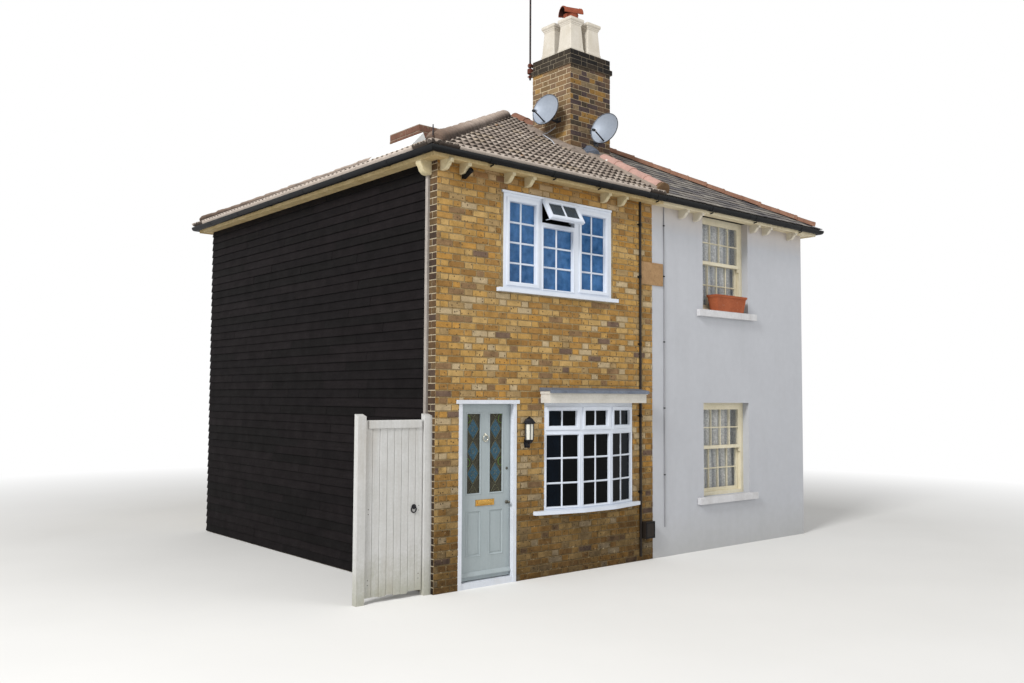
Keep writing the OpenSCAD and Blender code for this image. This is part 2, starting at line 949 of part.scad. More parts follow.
// The ground that the bow window covers in front of the wall
module bow_plan_full() {
    translate([lx(bow_x), front_y]) polygon(concat(bow_face, [[bow_w, 1], [0, 1]]));
}

lead_t = 12;
lead_fall = 30;

module bow_window_lead() {
    foot = cornice_foot + cornice_h;
    x = [lx(bow_x - cornice_l - 22), lx(bow_x + bow_w + cornice_r + 22)];
    color("#5d6b7e") along_x(x[0], x[1]) translate([front_y, foot]) polygon([
        [-cornice_out - 34, -26], [-cornice_out - 20, -26], [-cornice_out - 20, 0], [0, 0],
        [0, lead_t + lead_fall], [-cornice_out - 34, lead_t]
    ]);
}

glass_t = 16;
pane_t = 6;

// One vertically sliding sash window in a hole of height h, with the wall face at zero
module sash_window(h) {
    meet = h / 2;
    difference() {
        block([0, sash_w], [reveal, reveal + box_d], [0, h]);
        block([box_w, sash_w - box_w], [reveal - 1, reveal + box_d + 1], [box_w - 12, h - box_w + 12]);
    }
    sash([box_w, sash_w - box_w], reveal + 6, [meet, h - box_w + 12]);
    sash([box_w, sash_w - box_w], reveal + 6 + box_d / 2, [box_w - 12, meet + stile_w]);
}

module sash(x, y, z) {
    difference() {
        block(x, [y, y + box_d / 2 - 10], z);
        block([x[0] + stile_w, x[1] - stile_w], [y - 1, y + box_d], [z[0] + stile_w, z[1] - stile_w]);
    }
}

// The two panes of a sash window
module sash_panes(h) {
    meet = h / 2;
    pane([box_w, sash_w - box_w], reveal + 6, [meet, h - box_w + 12]);
    pane([box_w, sash_w - box_w], reveal + 6 + box_d / 2, [box_w - 12, meet + stile_w]);
}

module pane(x, y, z) {
    mid = y + (box_d / 2 - 10) / 2;
    block([x[0] + stile_w, x[1] - stile_w], [mid - pane_t / 2, mid + pane_t / 2],
          [z[0] + stile_w, z[1] - stile_w]);
}

// Puts a thing for one window opening at every sash window; the child reads $h, the opening's height
module at_sashes() {
    for (rear = [0, 1], left = rear ? [0, 1] : [0], row = [0, 1]) {
        foot = row ? sash_upper_foot : sash_lower_foot;
        $h = (row ? wall_top : sash_lower_head) - foot;
        mirror([left, 0, 0]) mirror([0, rear, 0])
            translate([rear ? rear_sash_x : sash_x, front_y, foot]) children();
    }
}

module sash_windows() {
    color("#ece7dc") at_sashes() sash_window($h);
}

module window_glass() {
    mid = frame_d / 2;
    color("#5f7f95") {
        at_sashes() sash_panes($h);
        for (l = upper_lights)
            block([lx(upper_x + l[0]), lx(upper_x + l[0] + l[1])], [fy(mid), fy(mid + glass_t)], [l[2], l[3]]);
        fan_place() block([fan_face, mid_w + 60 - fan_face], [-fan_t / 2 - glass_t / 2, -fan_t / 2 + glass_t / 2],
                          [-fan_h + fan_face, -fan_face]);
        for (i = [0 : 2]) on_bow(i) {
            block([bow_side, bow_light(i) - bow_side], [mid - 4, mid - 4 + glass_t],
                  [bow_foot + bow_bottom_rail, bow_transom]);
            block([bow_fan_side, bow_light(i) - bow_fan_side], [mid - 4, mid - 4 + glass_t],
                  [bow_fan_foot, bow_fan_head]);
        }
    }
}

sill_h = 95;
sill_side = 138;

module window_sills() {
    color("#e3e3e3") at_sashes() union() {
        block([-sill_side, sash_w + sill_side], [-sill_out, 0], [-sill_h, 0]);
    }
}

trough_l = 720;
trough_h = 235;
trough_d = 200;

module window_box() {
    base = sash_upper_foot;
    color("#b5603f") translate([sash_x + sash_w * 0.53, fy(5), base]) difference() {
        union() {
            taper(trough_l - 110, trough_l - 30, trough_h - 34, trough_d - 60, trough_d - 24);
            translate([0, 0, trough_h - 34]) taper(trough_l - 8, trough_l, 34, trough_d - 4, trough_d);
        }
        translate([0, 0, 20]) taper(trough_l - 140, trough_l - 50, trough_h - 19, trough_d - 88, trough_d - 46);
    }
}

/* Doors */

door_in = door_x + door_face;
rebate = 12;
leaf_x = door_in - rebate + leaf_gap;
leaf_w = door_w - 2 * door_face + 2 * rebate - 2 * leaf_gap;
head_z = door_h - 43;
door_back = leaf_back + leaf_t;
leaf_foot = floor_h + 10;
leaf_top = head_z + rebate - leaf_gap;
frame_back = door_back;

hinge_r = 9;
hinge_h = 96;
hinge_pin_r = 5;
hinge_gap = 0.25;
door_hinges = [260, 1060, 1830];

// A knuckle of a hinge on the origin, between two heights
module knuckle(z0, z1, bore) {
    difference() {
        translate([0, 0, z0]) cylinder(h = z1 - z0, r = hinge_r);
        if (bore) translate([0, 0, z0 - 1]) cylinder(h = z1 - z0 + 2, r = hinge_pin_r + hinge_gap);
    }
}

// The fixed half: pin, two knuckles and a plate that lies at y, towards -X
module hinge_fixed(plate_l, y) {
    third = hinge_h / 3;
    cylinder(h = hinge_h, r = hinge_pin_r);
    for (z = [0, 2 * third]) {
        knuckle(z, z + third, false);
        block([-plate_l, 0], [y, y + 4], [z, z + third]);
    }
}

// The moving half: one knuckle and a plate that lies at y, towards +X
module hinge_moving(plate_l, y) {
    z = [hinge_h / 3 + hinge_gap, 2 * hinge_h / 3 - hinge_gap];
    union() {
        knuckle(z[0], z[1], true);
        block([0, plate_l], [y, y + 3], z);
    }
}

// Puts a thing at each hinge of the door, on the axis that the door turns about
module at_door_hinges() {
    for (z = door_hinges)
        translate([lx(leaf_x - leaf_gap / 2), fy(door_back + hinge_r), z - hinge_h / 2]) children();
}

module door_frame() {
    color("#efe9da") union() {
        door_surround();
        at_door_hinges() hinge_fixed(34, -hinge_r);
    }
}

module door_surround() {
    difference() {
        union() {
            block([lx(door_x), lx(door_x + door_w)], [fy(0), fy(frame_back)], [0, door_h]);
            block([lx(door_x - 38), lx(door_x + door_w + 36)], [fy(-24), fy(0)], [head_z, door_h]);
            block([lx(door_x - 2), lx(door_in)], [fy(-10), fy(0)], [0, head_z]);
            block([lx(door_x + door_w - door_face), lx(door_x + door_w + 2)], [fy(-10), fy(0)], [0, head_z]);
        }
        block([lx(door_in), lx(door_x + door_w - door_face)], [fy(-30), fy(leaf_back)], [floor_h, head_z]);
        block([lx(leaf_x - leaf_gap), lx(leaf_x + leaf_w + leaf_gap)],
              [fy(leaf_back - leaf_gap), fy(frame_back + 1)], [floor_h, leaf_top + leaf_gap]);
    }
}

lite_x = leaf_x + leaf_w / 2 - lite_gap / 2 - lite_w;
recess = 9;

// Left edges of the two columns of panels
function columns() = [lite_x, lite_x + lite_w + lite_gap];

module door_leaf() {
    color("#a9b8b2") difference() {
        block([lx(leaf_x), lx(leaf_x + leaf_w)], [fy(leaf_back), fy(leaf_back + leaf_t)], [leaf_foot, leaf_top]);
        for (x = columns()) {
            block([lx(x), lx(x + lite_w)], [fy(0), fy(wall_t)], [lite_foot, lite_head]);
            block([lx(x), lx(x + lite_w)], [fy(0), fy(leaf_back + recess)], [panel_foot, panel_head]);
            block([lx(x), lx(x + lite_w)], [fy(leaf_back + leaf_t - recess), fy(wall_t)],
                  [panel_foot, panel_head]);
        }
    }
}

module door_glass() {
    mid = leaf_back + leaf_t / 2;
    color("#3f5a55") for (x = columns())
        block([lx(x), lx(x + lite_w)], [fy(mid - pane_t), fy(mid + pane_t)], [lite_foot, lite_head]);
}

plate_w = 275;
plate_h = 72;
plate_z = 900;
knob_x = 1104;
knob_z = 921;
ring_z = 1667;

module door_furniture() {
    face = fy(leaf_back);
    middle = lx(leaf_x + leaf_w / 2);
    color("#c9a052") {
        block([middle - plate_w / 2, middle + plate_w / 2], [face - 7, face], [plate_z, plate_z + plate_h]);
        translate([middle, face, ring_z]) rotate([90, 0, 0]) {
            rotate_extrude() translate([38, 6.5]) circle(r = 6.5, $fn = 16);
            translate([0, 38, 0]) cylinder(h = 16, r = 11);
        }
        translate([lx(knob_x - 30), face, knob_z]) rotate([90, 0, 0]) union() {
            cylinder(h = 6, r = 26);
            cylinder(h = 34, r = 9);
            translate([0, 0, 40]) sphere(r = 22);
        }
        translate([lx(knob_x - 28), face, ring_z - 357]) rotate([90, 0, 0]) cylinder(h = 5, r = 17);
        at_door_hinges() hinge_moving(34, -hinge_r);
    }
}

lantern_x = door_end + 150;
lantern_z = 1530;

// Outline of half the lantern, from its axis outwards
module lantern_outline() {
    polygon([
        [0, 0], [13, 4], [18, 20], [15, 36], [30, 62], [48, 94], [54, 104], [58, 296], [79, 304], [81, 316],
        [64, 330], [52, 350], [30, 366], [17, 370], [15, 380], [0, 384]
    ]);
}

// A lantern that lies flat against the wall
module lantern() {
    color("#1d1e22") translate([lx(lantern_x), fy(0), lantern_z]) intersection() {
        rotate_extrude() lantern_outline();
        block([-200, 200], [-200, 0], [0, 500]);
    }
}

// A closed panelled door with its frame, in a hole with the wall face at zero
module closed_door() {
    difference() {
        block([0, closed_door_w], [30, 120], [0, closed_door_h]);
        block([60, closed_door_w - 60], [29, 50], [60, closed_door_h - 60]);
        block([60, closed_door_w - 60], [96, 121], [60, closed_door_h - 60]);
        for (z = [[200, 880], [1060, 1900]], x = [[150, 390], [470, 710]]) block(x, [40, 62], z);
    }
}

module closed_doors() {
    color("#e3ded2") {
        translate([-rear_door_x, -front_y, 0]) rotate([0, 0, 180]) closed_door();
        translate([house_w, side_door_y, 0]) rotate([0, 0, 90]) closed_door();
    }
}

/* Side gate */

gate_right = -house_w - post_w - gate_gap;
gate_left = gate_right - gate_w;
gate_foot = 45;
gate_y = front_y + gate_back - 14;
gate_end = gate_y + 14 + gate_board_t + gate_rail_t;
gate_rails = [160, 885, gate_h - gate_rail_h];
strap_l = 260;
latch_z = 926;
latch_t = 8;
strike_t = 3;

module gate_leaf() {
    color("#e7e6e0") union() {
        block([gate_left, gate_right], [gate_y + 14, gate_y + 14 + gate_board_t], [gate_foot, gate_h]);
        for (z = gate_rails)
            block([gate_left, gate_right], [gate_end - gate_rail_t, gate_end], [z, z + gate_rail_h]);
        block([gate_left + 34, gate_right - 26], [gate_y, gate_y + 14], [gate_h - 90, gate_h - 4]);
    }
}

ring_x = 113;
gate_ring_z = 936;

// Puts a thing at each hinge of the gate, on the axis that the gate turns about
module at_gate_hinges() {
    for (z = [gate_rails[0], gate_rails[2]])
        translate([gate_left - gate_gap / 2, gate_end + hinge_r, z + (gate_rail_h - hinge_h) / 2]) children();
}

// Ring handle at the front, latch bar and hinge straps at the back
module gate_ironwork() {
    color("#1f1f22") {
        translate([gate_right - ring_x, gate_y + 14, gate_ring_z]) rotate([90, 0, 0]) union() {
            translate([0, 22, 0]) cylinder(h = 12, r = 26);
            translate([0, -8, 0]) rotate_extrude() translate([32, 6]) circle(r = 6, $fn = 16);
        }
        union() {
            block([gate_right - 170, gate_right - 12], [gate_end, gate_end + strike_t + latch_t],
                  [latch_z, latch_z + 22]);
            block([gate_right - 170, gate_right + gate_gap + 42],
                  [gate_end + strike_t + hinge_gap, gate_end + strike_t + latch_t], [latch_z, latch_z + 22]);
        }
        at_gate_hinges() hinge_moving(strap_l, -hinge_r);
    }
}

// A square post with a weathered, sloping top
module gate_post(x) {
    along_x(x, x + post_w) polygon([
        [gate_y - 14, 0], [gate_end, 0], [gate_end, post_h], [gate_y - 14, post_h - 24]
    ]);
}

// Posts with the hinge pins and the plate that the latch bar rests on
module gate_posts() {
    color("#e7e6e0") {
        union() {
            gate_post(-house_w - post_w);
            block([gate_right + gate_gap, gate_right + gate_gap + 60], [gate_end, gate_end + strike_t],
                  [latch_z - 24, latch_z + 46]);
        }
        union() {
            gate_post(gate_left - gate_gap - post_w);
            at_gate_hinges() hinge_fixed(64, -hinge_r);
        }
    }
}

/* Wall fittings */

plaque_left = 256;
plaque_right = 190;
plaque_drop = 795;
plaque_h = 305;
plaque_t = 14;

module plaque() {
    color("#bf9868") block([-plaque_left, plaque_right], [fy(-plaque_t), fy(0)],
                           [eaves_h - plaque_drop - plaque_h, eaves_h - plaque_drop]);
}

pipe_r = 17;
front_pipe_x = 279;
cable_x = 218;
box_l = 179;
box_out = 90;
box_z = [290, 510];
pipe_foot = 60;
cable_foot = 400;
cable_r = 8;
down_r = 34;
down_inset = 160;
down_foot = 120;
down_bend = 190;
down_socket = 45;

// A rear downpipe with a slanting neck up to the gutter
module downpipe(x) {
    neck = eaves_h - down_bend;
    drop = gutter_top - gutter_side - gutter_r;
    out = fascia_out + gutter_r;
    union() {
        translate([x, -front_y + down_r, down_foot])
            cylinder(h = neck + down_socket - down_foot, r = down_r);
        rod([x, -front_y + down_r, neck], [x, -front_y + out, drop - down_socket], down_r - 4);
        translate([x, -front_y + out, drop - 2 * down_socket]) cylinder(h = 2 * down_socket, r = down_r);
    }
}

module wall_services() {
    color("#2a2a2e") {
        translate([-front_pipe_x, fy(-pipe_r), pipe_foot]) cylinder(h = eaves_h - pipe_foot, r = pipe_r);
        translate([cable_x, fy(-cable_r), cable_foot]) cylinder(h = eaves_h - cable_foot, r = cable_r);
        block([-front_pipe_x + pipe_r + 6, -front_pipe_x + pipe_r + 6 + box_l], [fy(-box_out), fy(0)], box_z);
        downpipe(-house_w + down_inset);
        downpipe(house_w - down_inset);
    }
}

front_wall_door_pier();
front_wall_lower();
front_wall_upper();
rendered_front_wall();
side_wall();
weatherboarding();
rendered_side_wall();
rear_wall_brick();
rear_wall_rendered();
party_wall();
floors();
chimney_stack();
chimney_pots();
chimney_cowl();
mortar_flaunching();
tiled_roof();
slate_roof();
concrete_hip_tiles();
clay_hip_tiles();
party_ridge_tiles();
stub_chimney();
eaves_boards();
gutters();
eaves_brackets();
satellite_dishes();
aerial_mast();
upper_window_frame();
bow_window_frame();
bow_window_cornice();
bow_window_lead();
window_glass();
door_frame();
door_leaf();
door_glass();
door_furniture();
lantern();
sash_windows();
window_sills();
window_box();
closed_doors();
gate_leaf();
gate_ironwork();
gate_posts();
plaque();
wall_services();
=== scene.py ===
"""Looks of a pair of cottages under one hipped roof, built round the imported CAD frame.

Metres, +Z up, street side towards -Y, origin on the ground on the party line.
"""
import logging
import math
import random
from dataclasses import dataclass
from enum import Enum
from typing import Callable, Iterable, Sequence

import bmesh
import bpy
from mathutils import Matrix, Vector, noise


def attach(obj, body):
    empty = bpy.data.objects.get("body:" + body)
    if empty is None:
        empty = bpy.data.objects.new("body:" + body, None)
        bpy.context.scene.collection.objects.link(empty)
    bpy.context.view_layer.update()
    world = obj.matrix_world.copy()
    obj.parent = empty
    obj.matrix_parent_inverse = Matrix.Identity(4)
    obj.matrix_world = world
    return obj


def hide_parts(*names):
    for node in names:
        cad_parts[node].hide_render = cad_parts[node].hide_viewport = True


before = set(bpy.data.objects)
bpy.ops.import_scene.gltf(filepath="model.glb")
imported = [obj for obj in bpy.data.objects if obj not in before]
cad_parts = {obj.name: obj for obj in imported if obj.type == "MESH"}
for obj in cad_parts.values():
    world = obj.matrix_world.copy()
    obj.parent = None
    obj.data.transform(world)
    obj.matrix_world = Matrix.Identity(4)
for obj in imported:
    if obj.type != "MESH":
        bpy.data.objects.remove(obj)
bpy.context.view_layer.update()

LOG = logging.getLogger("cottages")
UP = Vector((0, 0, 1))

# Outer faces and levels of the house, in metres; the garden side and the right flank mirror the first two.
FRONT_Y = -3.05
SIDE_X = 3.612
EAVES_Z = 4.76
GUTTER_OUT, GUTTER_Z = 0.217, 4.824

# The way to the right along each side of the house, in plan, as seen from outside it.
ALONG_STREET, ALONG_GARDEN, ALONG_LEFT, ALONG_RIGHT = (1, 0), (-1, 0), (0, -1), (0, 1)

# Faces that meet at less than the first angle are shaded as one; edges over the second are softened.
CURVE_ANGLE, EDGE_ANGLE = math.radians(38), math.radians(40)


class Body(Enum):
    """The bodies that a piece can ride on."""

    HOUSE = "house"
    DOOR = "front_door"
    GATE = "side_gate"


# ---------------------------------------------------------------- places and shapes


def around(sides: int, steps: int = 0) -> list[float]:
    """Angles of a turn in equal sides: one for each side, or the given number of them."""
    return [2 * math.pi * k / sides for k in range(steps or sides)]


def half_circle(radius: float, sides: int) -> list[tuple[float, float]]:
    """Points of the upper half of a circle, from right to left."""
    return [(radius * math.cos(math.pi * k / sides), radius * math.sin(math.pi * k / sides))
            for k in range(sides + 1)]


def linked(name: str, data: bpy.types.ID) -> bpy.types.Object:
    """A new object of the scene.

    Args:
        name: Its name.
        data: Its mesh, lamp or camera.

    Returns:
        The object.
    """
    thing = bpy.data.objects.new(name, data)
    bpy.context.scene.collection.objects.link(thing)
    return thing


@dataclass(frozen=True)
class Place:
    """A local set of directions: right along a surface, out of it, and up it."""

    origin: Vector
    right: Vector
    out: Vector
    up: Vector = UP

    def at(self, x: float, out: float, z: float) -> Vector:
        """The point x to the right, out of the surface and z up it."""
        return self.origin + self.right * x + self.out * out + self.up * z

    def turn(self) -> tuple[float, float, float]:
        """Euler angles of a unit that is built with x right, -y out and z up."""
        return tuple(Matrix((self.right, -self.out, self.up)).transposed().to_euler())

    def moved(self, x: float, out: float, z: float) -> "Place":
        """The same directions from another origin."""
        return Place(self.at(x, out, z), self.right, self.out, self.up)

    @staticmethod
    def facing(x: float, y: float, z: float, right: tuple[float, float]) -> "Place":
        """A place on an upright face, given its way to the right in plan, as seen from outside."""
        dx, dy = right
        return Place(Vector((x, y, z)), Vector((dx, dy, 0)), Vector((dy, -dx, 0)))

    @staticmethod
    def along(start: Vector, end: Vector) -> "Place":
        """A place that starts at one point, with up towards another and out as near +Z as it can be.

        Args:
            start: Its origin.
            end: A point up from there.

        Returns:
            The place.
        """
        up = (end - start).normalized()
        out = (UP - up * up.z).normalized()
        return Place(start, (-out).cross(up), out, up)


class Shape:
    """Points and faces, in metres, that become one piece."""

    def __init__(self) -> None:
        """Starts with nothing."""
        self.points: list[Vector] = []
        self.faces: list[tuple[int, ...]] = []
        self.marks: list[int] = []
        # Each point's share of painted shade, in hollows, under laps and round edges, with some grime.
        self.shade_and_dirt: list[float] = []

    def with_shade_and_dirt(self, rule: Callable[[Vector], float]) -> "Shape":
        """Gives each point its share of painted shade and grime."""
        self.shade_and_dirt = [rule(p) for p in self.points]
        return self

    def skin(self, rings: Sequence[Sequence[Vector]], mark: int = 0, loop: bool = False) -> "Shape":
        """Joins closed rings of points in order, with a face over each end unless they make a loop.

        Args:
            rings: Rings of equal length.
            mark: Which of the piece's finishes the faces take.
            loop: Whether the last ring joins the first.

        Returns:
            This shape.
        """
        base, n, count = len(self.points), len(rings[0]), len(rings)
        for ring in rings:
            self.points.extend(Vector(p) for p in ring)
        for r in range(count if loop else count - 1):
            a, b = base + r * n, base + (r + 1) % count * n
            self.faces.extend((a + i, a + (i + 1) % n, b + (i + 1) % n, b + i) for i in range(n))
        if not loop:
            self.faces.append(tuple(base + i for i in reversed(range(n))))
            self.faces.append(tuple(base + (count - 1) * n + i for i in range(n)))
        self.marks.extend([mark] * (len(self.faces) - len(self.marks)))
        return self

    def block(self, lo: Sequence[float], hi: Sequence[float], mark: int = 0,
              place: Place | None = None) -> "Shape":
        """Adds a block between two corners, given as (x, out, z) where there is a place.

        Args:
            lo: Its lowest corner.
            hi: Its highest corner.
            mark: Which of the piece's finishes the faces take.
            place: Directions, or None for the world's.

        Returns:
            This shape.
        """
        put = place.at if place else (lambda x, y, z: Vector((x, y, z)))
        ring = [(lo[0], lo[1]), (hi[0], lo[1]), (hi[0], hi[1]), (lo[0], hi[1])]
        return self.skin([[put(x, y, z) for x, y in ring] for z in (lo[2], hi[2])], mark)

    def prism(self, outline: Sequence[tuple[float, float]], x0: float, x1: float, place: Place,
              mark: int = 0) -> "Shape":
        """Carries an outline of (out, z) pairs from x0 to x1."""
        return self.skin([[place.at(x, o, z) for o, z in outline] for x in (x0, x1)], mark)

    def slab(self, outline: Sequence[tuple[float, float]], out0: float, out1: float, place: Place,
             mark: int = 0) -> "Shape":
        """Carries an outline of (x, z) pairs outwards from out0 to out1."""
        return self.skin([[place.at(x, o, z) for x, z in outline] for o in (out0, out1)], mark)

    def moulding(self, x: tuple[float, float], z: tuple[float, float],
                 profile: Sequence[tuple[float, float]], place: Place, mark: int = 0) -> "Shape":
        """A mitred frame round a rectangle; the profile is (inset, out) pairs.

        Args:
            x: Left and right edge.
            z: Lower and upper edge.
            profile: Section of the frame.
            place: Directions on the surface.
            mark: Which of the piece's finishes the faces take.

        Returns:
            This shape.
        """
        corners = [(x[0], z[0], 1, 1), (x[1], z[0], -1, 1), (x[1], z[1], -1, -1), (x[0], z[1], 1, -1)]
        rings = [[place.at(cx + sx * i, o, cz + sz * i) for i, o in profile] for cx, cz, sx, sz in corners]
        return self.skin(rings, mark, loop=True)

    def tube(self, path: Sequence[Vector], radius: float | Sequence[float], sides: int = 8,
             mark: int = 0) -> "Shape":
        """A round tube along a path, with one radius or one for each point.

        Args:
            path: Points on its middle line.
            radius: Its radius.
            sides: Number of its sides.
            mark: Which of the piece's finishes the faces take.

        Returns:
            This shape.
        """
        path = [Vector(p) for p in path]
        radii = list(radius) if hasattr(radius, "__len__") else [radius] * len(path)
        side, rings = None, []
        for i, point in enumerate(path):
            ahead = (path[min(i + 1, len(path) - 1)] - path[max(i - 1, 0)]).normalized()
            if side is None:
                side = ahead.orthogonal().normalized()
            side = (side - ahead * side.dot(ahead)).normalized()
            other = ahead.cross(side)
            rings.append([point + (side * math.cos(a) + other * math.sin(a)) * radii[i] for a in around(sides)])
        return self.skin(rings, mark)

    def spun(self, outline: Sequence[tuple[float, float]], place: Place, sides: int = 16, mark: int = 0
             ) -> "Shape":
        """Turns an outline of (radius, height) pairs about the place's up."""
        rings = [[place.at(r * math.cos(a), r * math.sin(a), h) for a in around(sides)] for r, h in outline]
        return self.skin(rings, mark)

    def mesh(self, name: str) -> bpy.types.Mesh:
        """The shape as a mesh with its faces turned outwards.

        Args:
            name: Its name.

        Returns:
            The mesh.
        """
        mesh = bpy.data.meshes.new(name)
        mesh.from_pydata([tuple(p) for p in self.points], [], self.faces)
        mesh.polygons.foreach_set("material_index", self.marks)
        # The attribute holds each point's share of painted shade and grime.
        if self.shade_and_dirt:
            mesh.attributes.new("shade_and_dirt", "FLOAT", "POINT").data.foreach_set("value", self.shade_and_dirt)
        work = bmesh.new()
        work.from_mesh(mesh)
        bmesh.ops.recalc_face_normals(work, faces=work.faces)
        work.to_mesh(mesh)
        work.free()
        mesh.update()
        return mesh

    def piece(self, name: str, finishes: Sequence["Finish"], slot: str, body: Body = Body.HOUSE,
              replaces: Sequence[str] = (), bevel: float = 0.0, smooth: bool = False) -> bpy.types.Object:
        """Makes the shape a piece of the scene.

        Args:
            name: Name of the piece.
            finishes: Its finishes, in the order of the marks.
            slot: The record's material slot.
            body: What it rides on.
            replaces: CAD nodes that it stands for.
            bevel: Width of its softened edges.
            smooth: Whether its faces are shaded as one curve.

        Returns:
            The piece.
        """
        return settle(linked(name, self.mesh(name)), finishes, slot, body, replaces, bevel, smooth)


def settle(piece: bpy.types.Object, finishes: Sequence["Finish"], slot: str, body: Body = Body.HOUSE,
           replaces: Sequence[str] = (), bevel: float = 0.0, smooth: bool = False) -> bpy.types.Object:
    """Gives an object its finishes and hangs it on its body's empty.

    Args:
        piece: The object.
        finishes: Its finishes.
        slot: Not used.
        body: What it rides on.
        replaces: CAD nodes that it stands for.
        bevel: Width of its softened edges.
        smooth: Whether it is shaded as one curve.

    Returns:
        The same object.
    """
    marks = [face.material_index for face in piece.data.polygons]
    piece.data.materials.clear()
    for finish in finishes:
        piece.data.materials.append(finish.material())
    if len(finishes) > 1:
        piece.data.polygons.foreach_set("material_index", marks)
    if smooth:
        piece.data.shade_smooth()
        piece.data.set_sharp_from_angle(angle=CURVE_ANGLE)
    if bevel:
        edge = piece.modifiers.new("softened_edges", "BEVEL")
        edge.width, edge.segments, edge.limit_method = bevel, 1, "ANGLE"
        edge.angle_limit = EDGE_ANGLE
        edge.use_clamp_overlap = True
    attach(piece, body.value)
    if replaces:
        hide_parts(*replaces)
    LOG.info("%s: %d faces", piece.name, len(piece.data.polygons))
    return piece


def dress(finish: "Finish", *nodes: str) -> None:
    """Gives CAD nodes a finish in their material slots.

    Args:
        finish: The finish.
        nodes: Names of the nodes.
    """
    for node in nodes:
        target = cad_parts[node]
        if not target.material_slots:
            target.data.materials.append(None)
        for material_slot in target.material_slots:
            material_slot.material = finish.material()


# ---------------------------------------------------------------- units laid by Geometry Nodes


@dataclass
class Unit:
    """One unit in a laid surface: where it lies, its turn and its size."""

    point: Vector
    turn: tuple[float, float, float]
    span: tuple[float, float, float] = (1.0, 1.0, 1.0)


class Laying:
    """The Geometry Nodes tree that lays one shape at many points, each a little out of true."""

    def __init__(self) -> None:
        """Builds the tree with named inputs."""
        tree = self.tree = bpy.data.node_groups.new("laid_units", "GeometryNodeTree")
        face, self.sockets = tree.interface, {}
        face.new_socket("Geometry", in_out="INPUT", socket_type="NodeSocketGeometry")
        for name, kind in (("Unit", "Object"), ("Tilt", "Float"), ("Depth", "Float"), ("Seed", "Int"),
                           ("Finish", "Material")):
            socket = face.new_socket(name, in_out="INPUT", socket_type="NodeSocket" + kind)
            self.sockets[name] = socket.identifier
        face.new_socket("Geometry", in_out="OUTPUT", socket_type="NodeSocketGeometry")
        wire = Wiring(tree)
        start = wire.add("NodeGroupInput")
        unit = wire.add("GeometryNodeObjectInfo", {"Object": start.outputs["Unit"]})
        turn = wire.add("GeometryNodeInputNamedAttribute", {"Name": "turn"}, data_type="FLOAT_VECTOR")
        span = wire.add("GeometryNodeInputNamedAttribute", {"Name": "span"}, data_type="FLOAT_VECTOR")
        lay = wire.add("GeometryNodeInstanceOnPoints", {
            "Points": start.outputs["Geometry"], "Instance": unit.outputs["Geometry"],
            "Rotation": wire.add("FunctionNodeEulerToRotation", {0: turn.outputs[0]}).outputs[0],
            "Scale": span.outputs[0]})
        chance = wire.add("FunctionNodeRandomValue", {0: (-1, -1, -1), 1: (1, 1, 1), 8: start.outputs["Seed"]},
                          data_type="FLOAT_VECTOR")
        lean = wire.add("ShaderNodeVectorMath", {0: chance.outputs[0], "Scale": start.outputs["Tilt"]},
                        operation="SCALE")
        turned = wire.add("GeometryNodeRotateInstances", {"Instances": lay.outputs[0], "Rotation": lean.outputs[0]})
        chance = wire.add("FunctionNodeRandomValue", {2: -1.0, 3: 1.0, 8: start.outputs["Seed"]}, data_type="FLOAT")
        push = wire.add("ShaderNodeMath", {0: chance.outputs[1], 1: start.outputs["Depth"]}, operation="MULTIPLY")
        shift = wire.add("ShaderNodeCombineXYZ", {1: push.outputs[0]})
        moved = wire.add("GeometryNodeTranslateInstances", {"Instances": turned.outputs[0],
                                                           "Translation": shift.outputs[0]})
        later = wire.add("ShaderNodeMath", {0: start.outputs["Seed"], 1: 7.0}, operation="ADD")
        chance = wire.add("FunctionNodeRandomValue", {2: 0.0, 3: 1.0, 8: later.outputs[0]}, data_type="FLOAT")
        tone = wire.add("GeometryNodeStoreNamedAttribute",
                        {"Geometry": moved.outputs[0], "Name": "tone", "Value": chance.outputs[1]},
                        data_type="FLOAT", domain="INSTANCE")
        real = wire.add("GeometryNodeRealizeInstances", {0: tone.outputs[0]})
        coated = wire.add("GeometryNodeSetMaterial", {"Geometry": real.outputs[0],
                                                     "Material": start.outputs["Finish"]})
        wire.add("NodeGroupOutput", {"Geometry": coated.outputs[0]})

    def lay(self, name: str, units: Sequence[Unit], shape: Shape, finish: "Finish", seed: int,
            tilt: float = 0.004, depth: float = 0.0) -> bpy.types.Object:
        """Lays a shape at every unit and turns the result into a plain mesh.

        Args:
            name: Name of the object that is made.
            units: Where the units lie.
            shape: The unit, built with x right, -y out and z up.
            finish: Its finish.
            seed: Seed of the chances.
            tilt: Largest turn out of true, in radians.
            depth: Largest shift outwards or inwards.

        Returns:
            An object with a plain mesh, whose faces know their unit's tone.
        """
        mesh = bpy.data.meshes.new(name)
        mesh.from_pydata([tuple(u.point) for u in units], [], [])
        for label, values in (("turn", [u.turn for u in units]), ("span", [u.span for u in units])):
            layer = mesh.attributes.new(label, "FLOAT_VECTOR", "POINT")
            layer.data.foreach_set("vector", [v for triple in values for v in triple])
        points = linked(name + "_points", mesh)
        single = linked(name + "_unit", shape.mesh(name + "_unit"))
        layer = points.modifiers.new("laid_units", "NODES")
        layer.node_group = self.tree
        for label, value in (("Unit", single), ("Tilt", tilt), ("Depth", depth), ("Seed", seed),
                             ("Finish", finish.material())):
            layer[self.sockets[label]] = value
        seen = points.evaluated_get(bpy.context.evaluated_depsgraph_get())
        result = linked(name, bpy.data.meshes.new_from_object(seen))
        for label in ("turn", "span"):
            if label in result.data.attributes:
                result.data.attributes.remove(result.data.attributes[label])
        for each in (points, single):
            bpy.data.objects.remove(each)
        return result


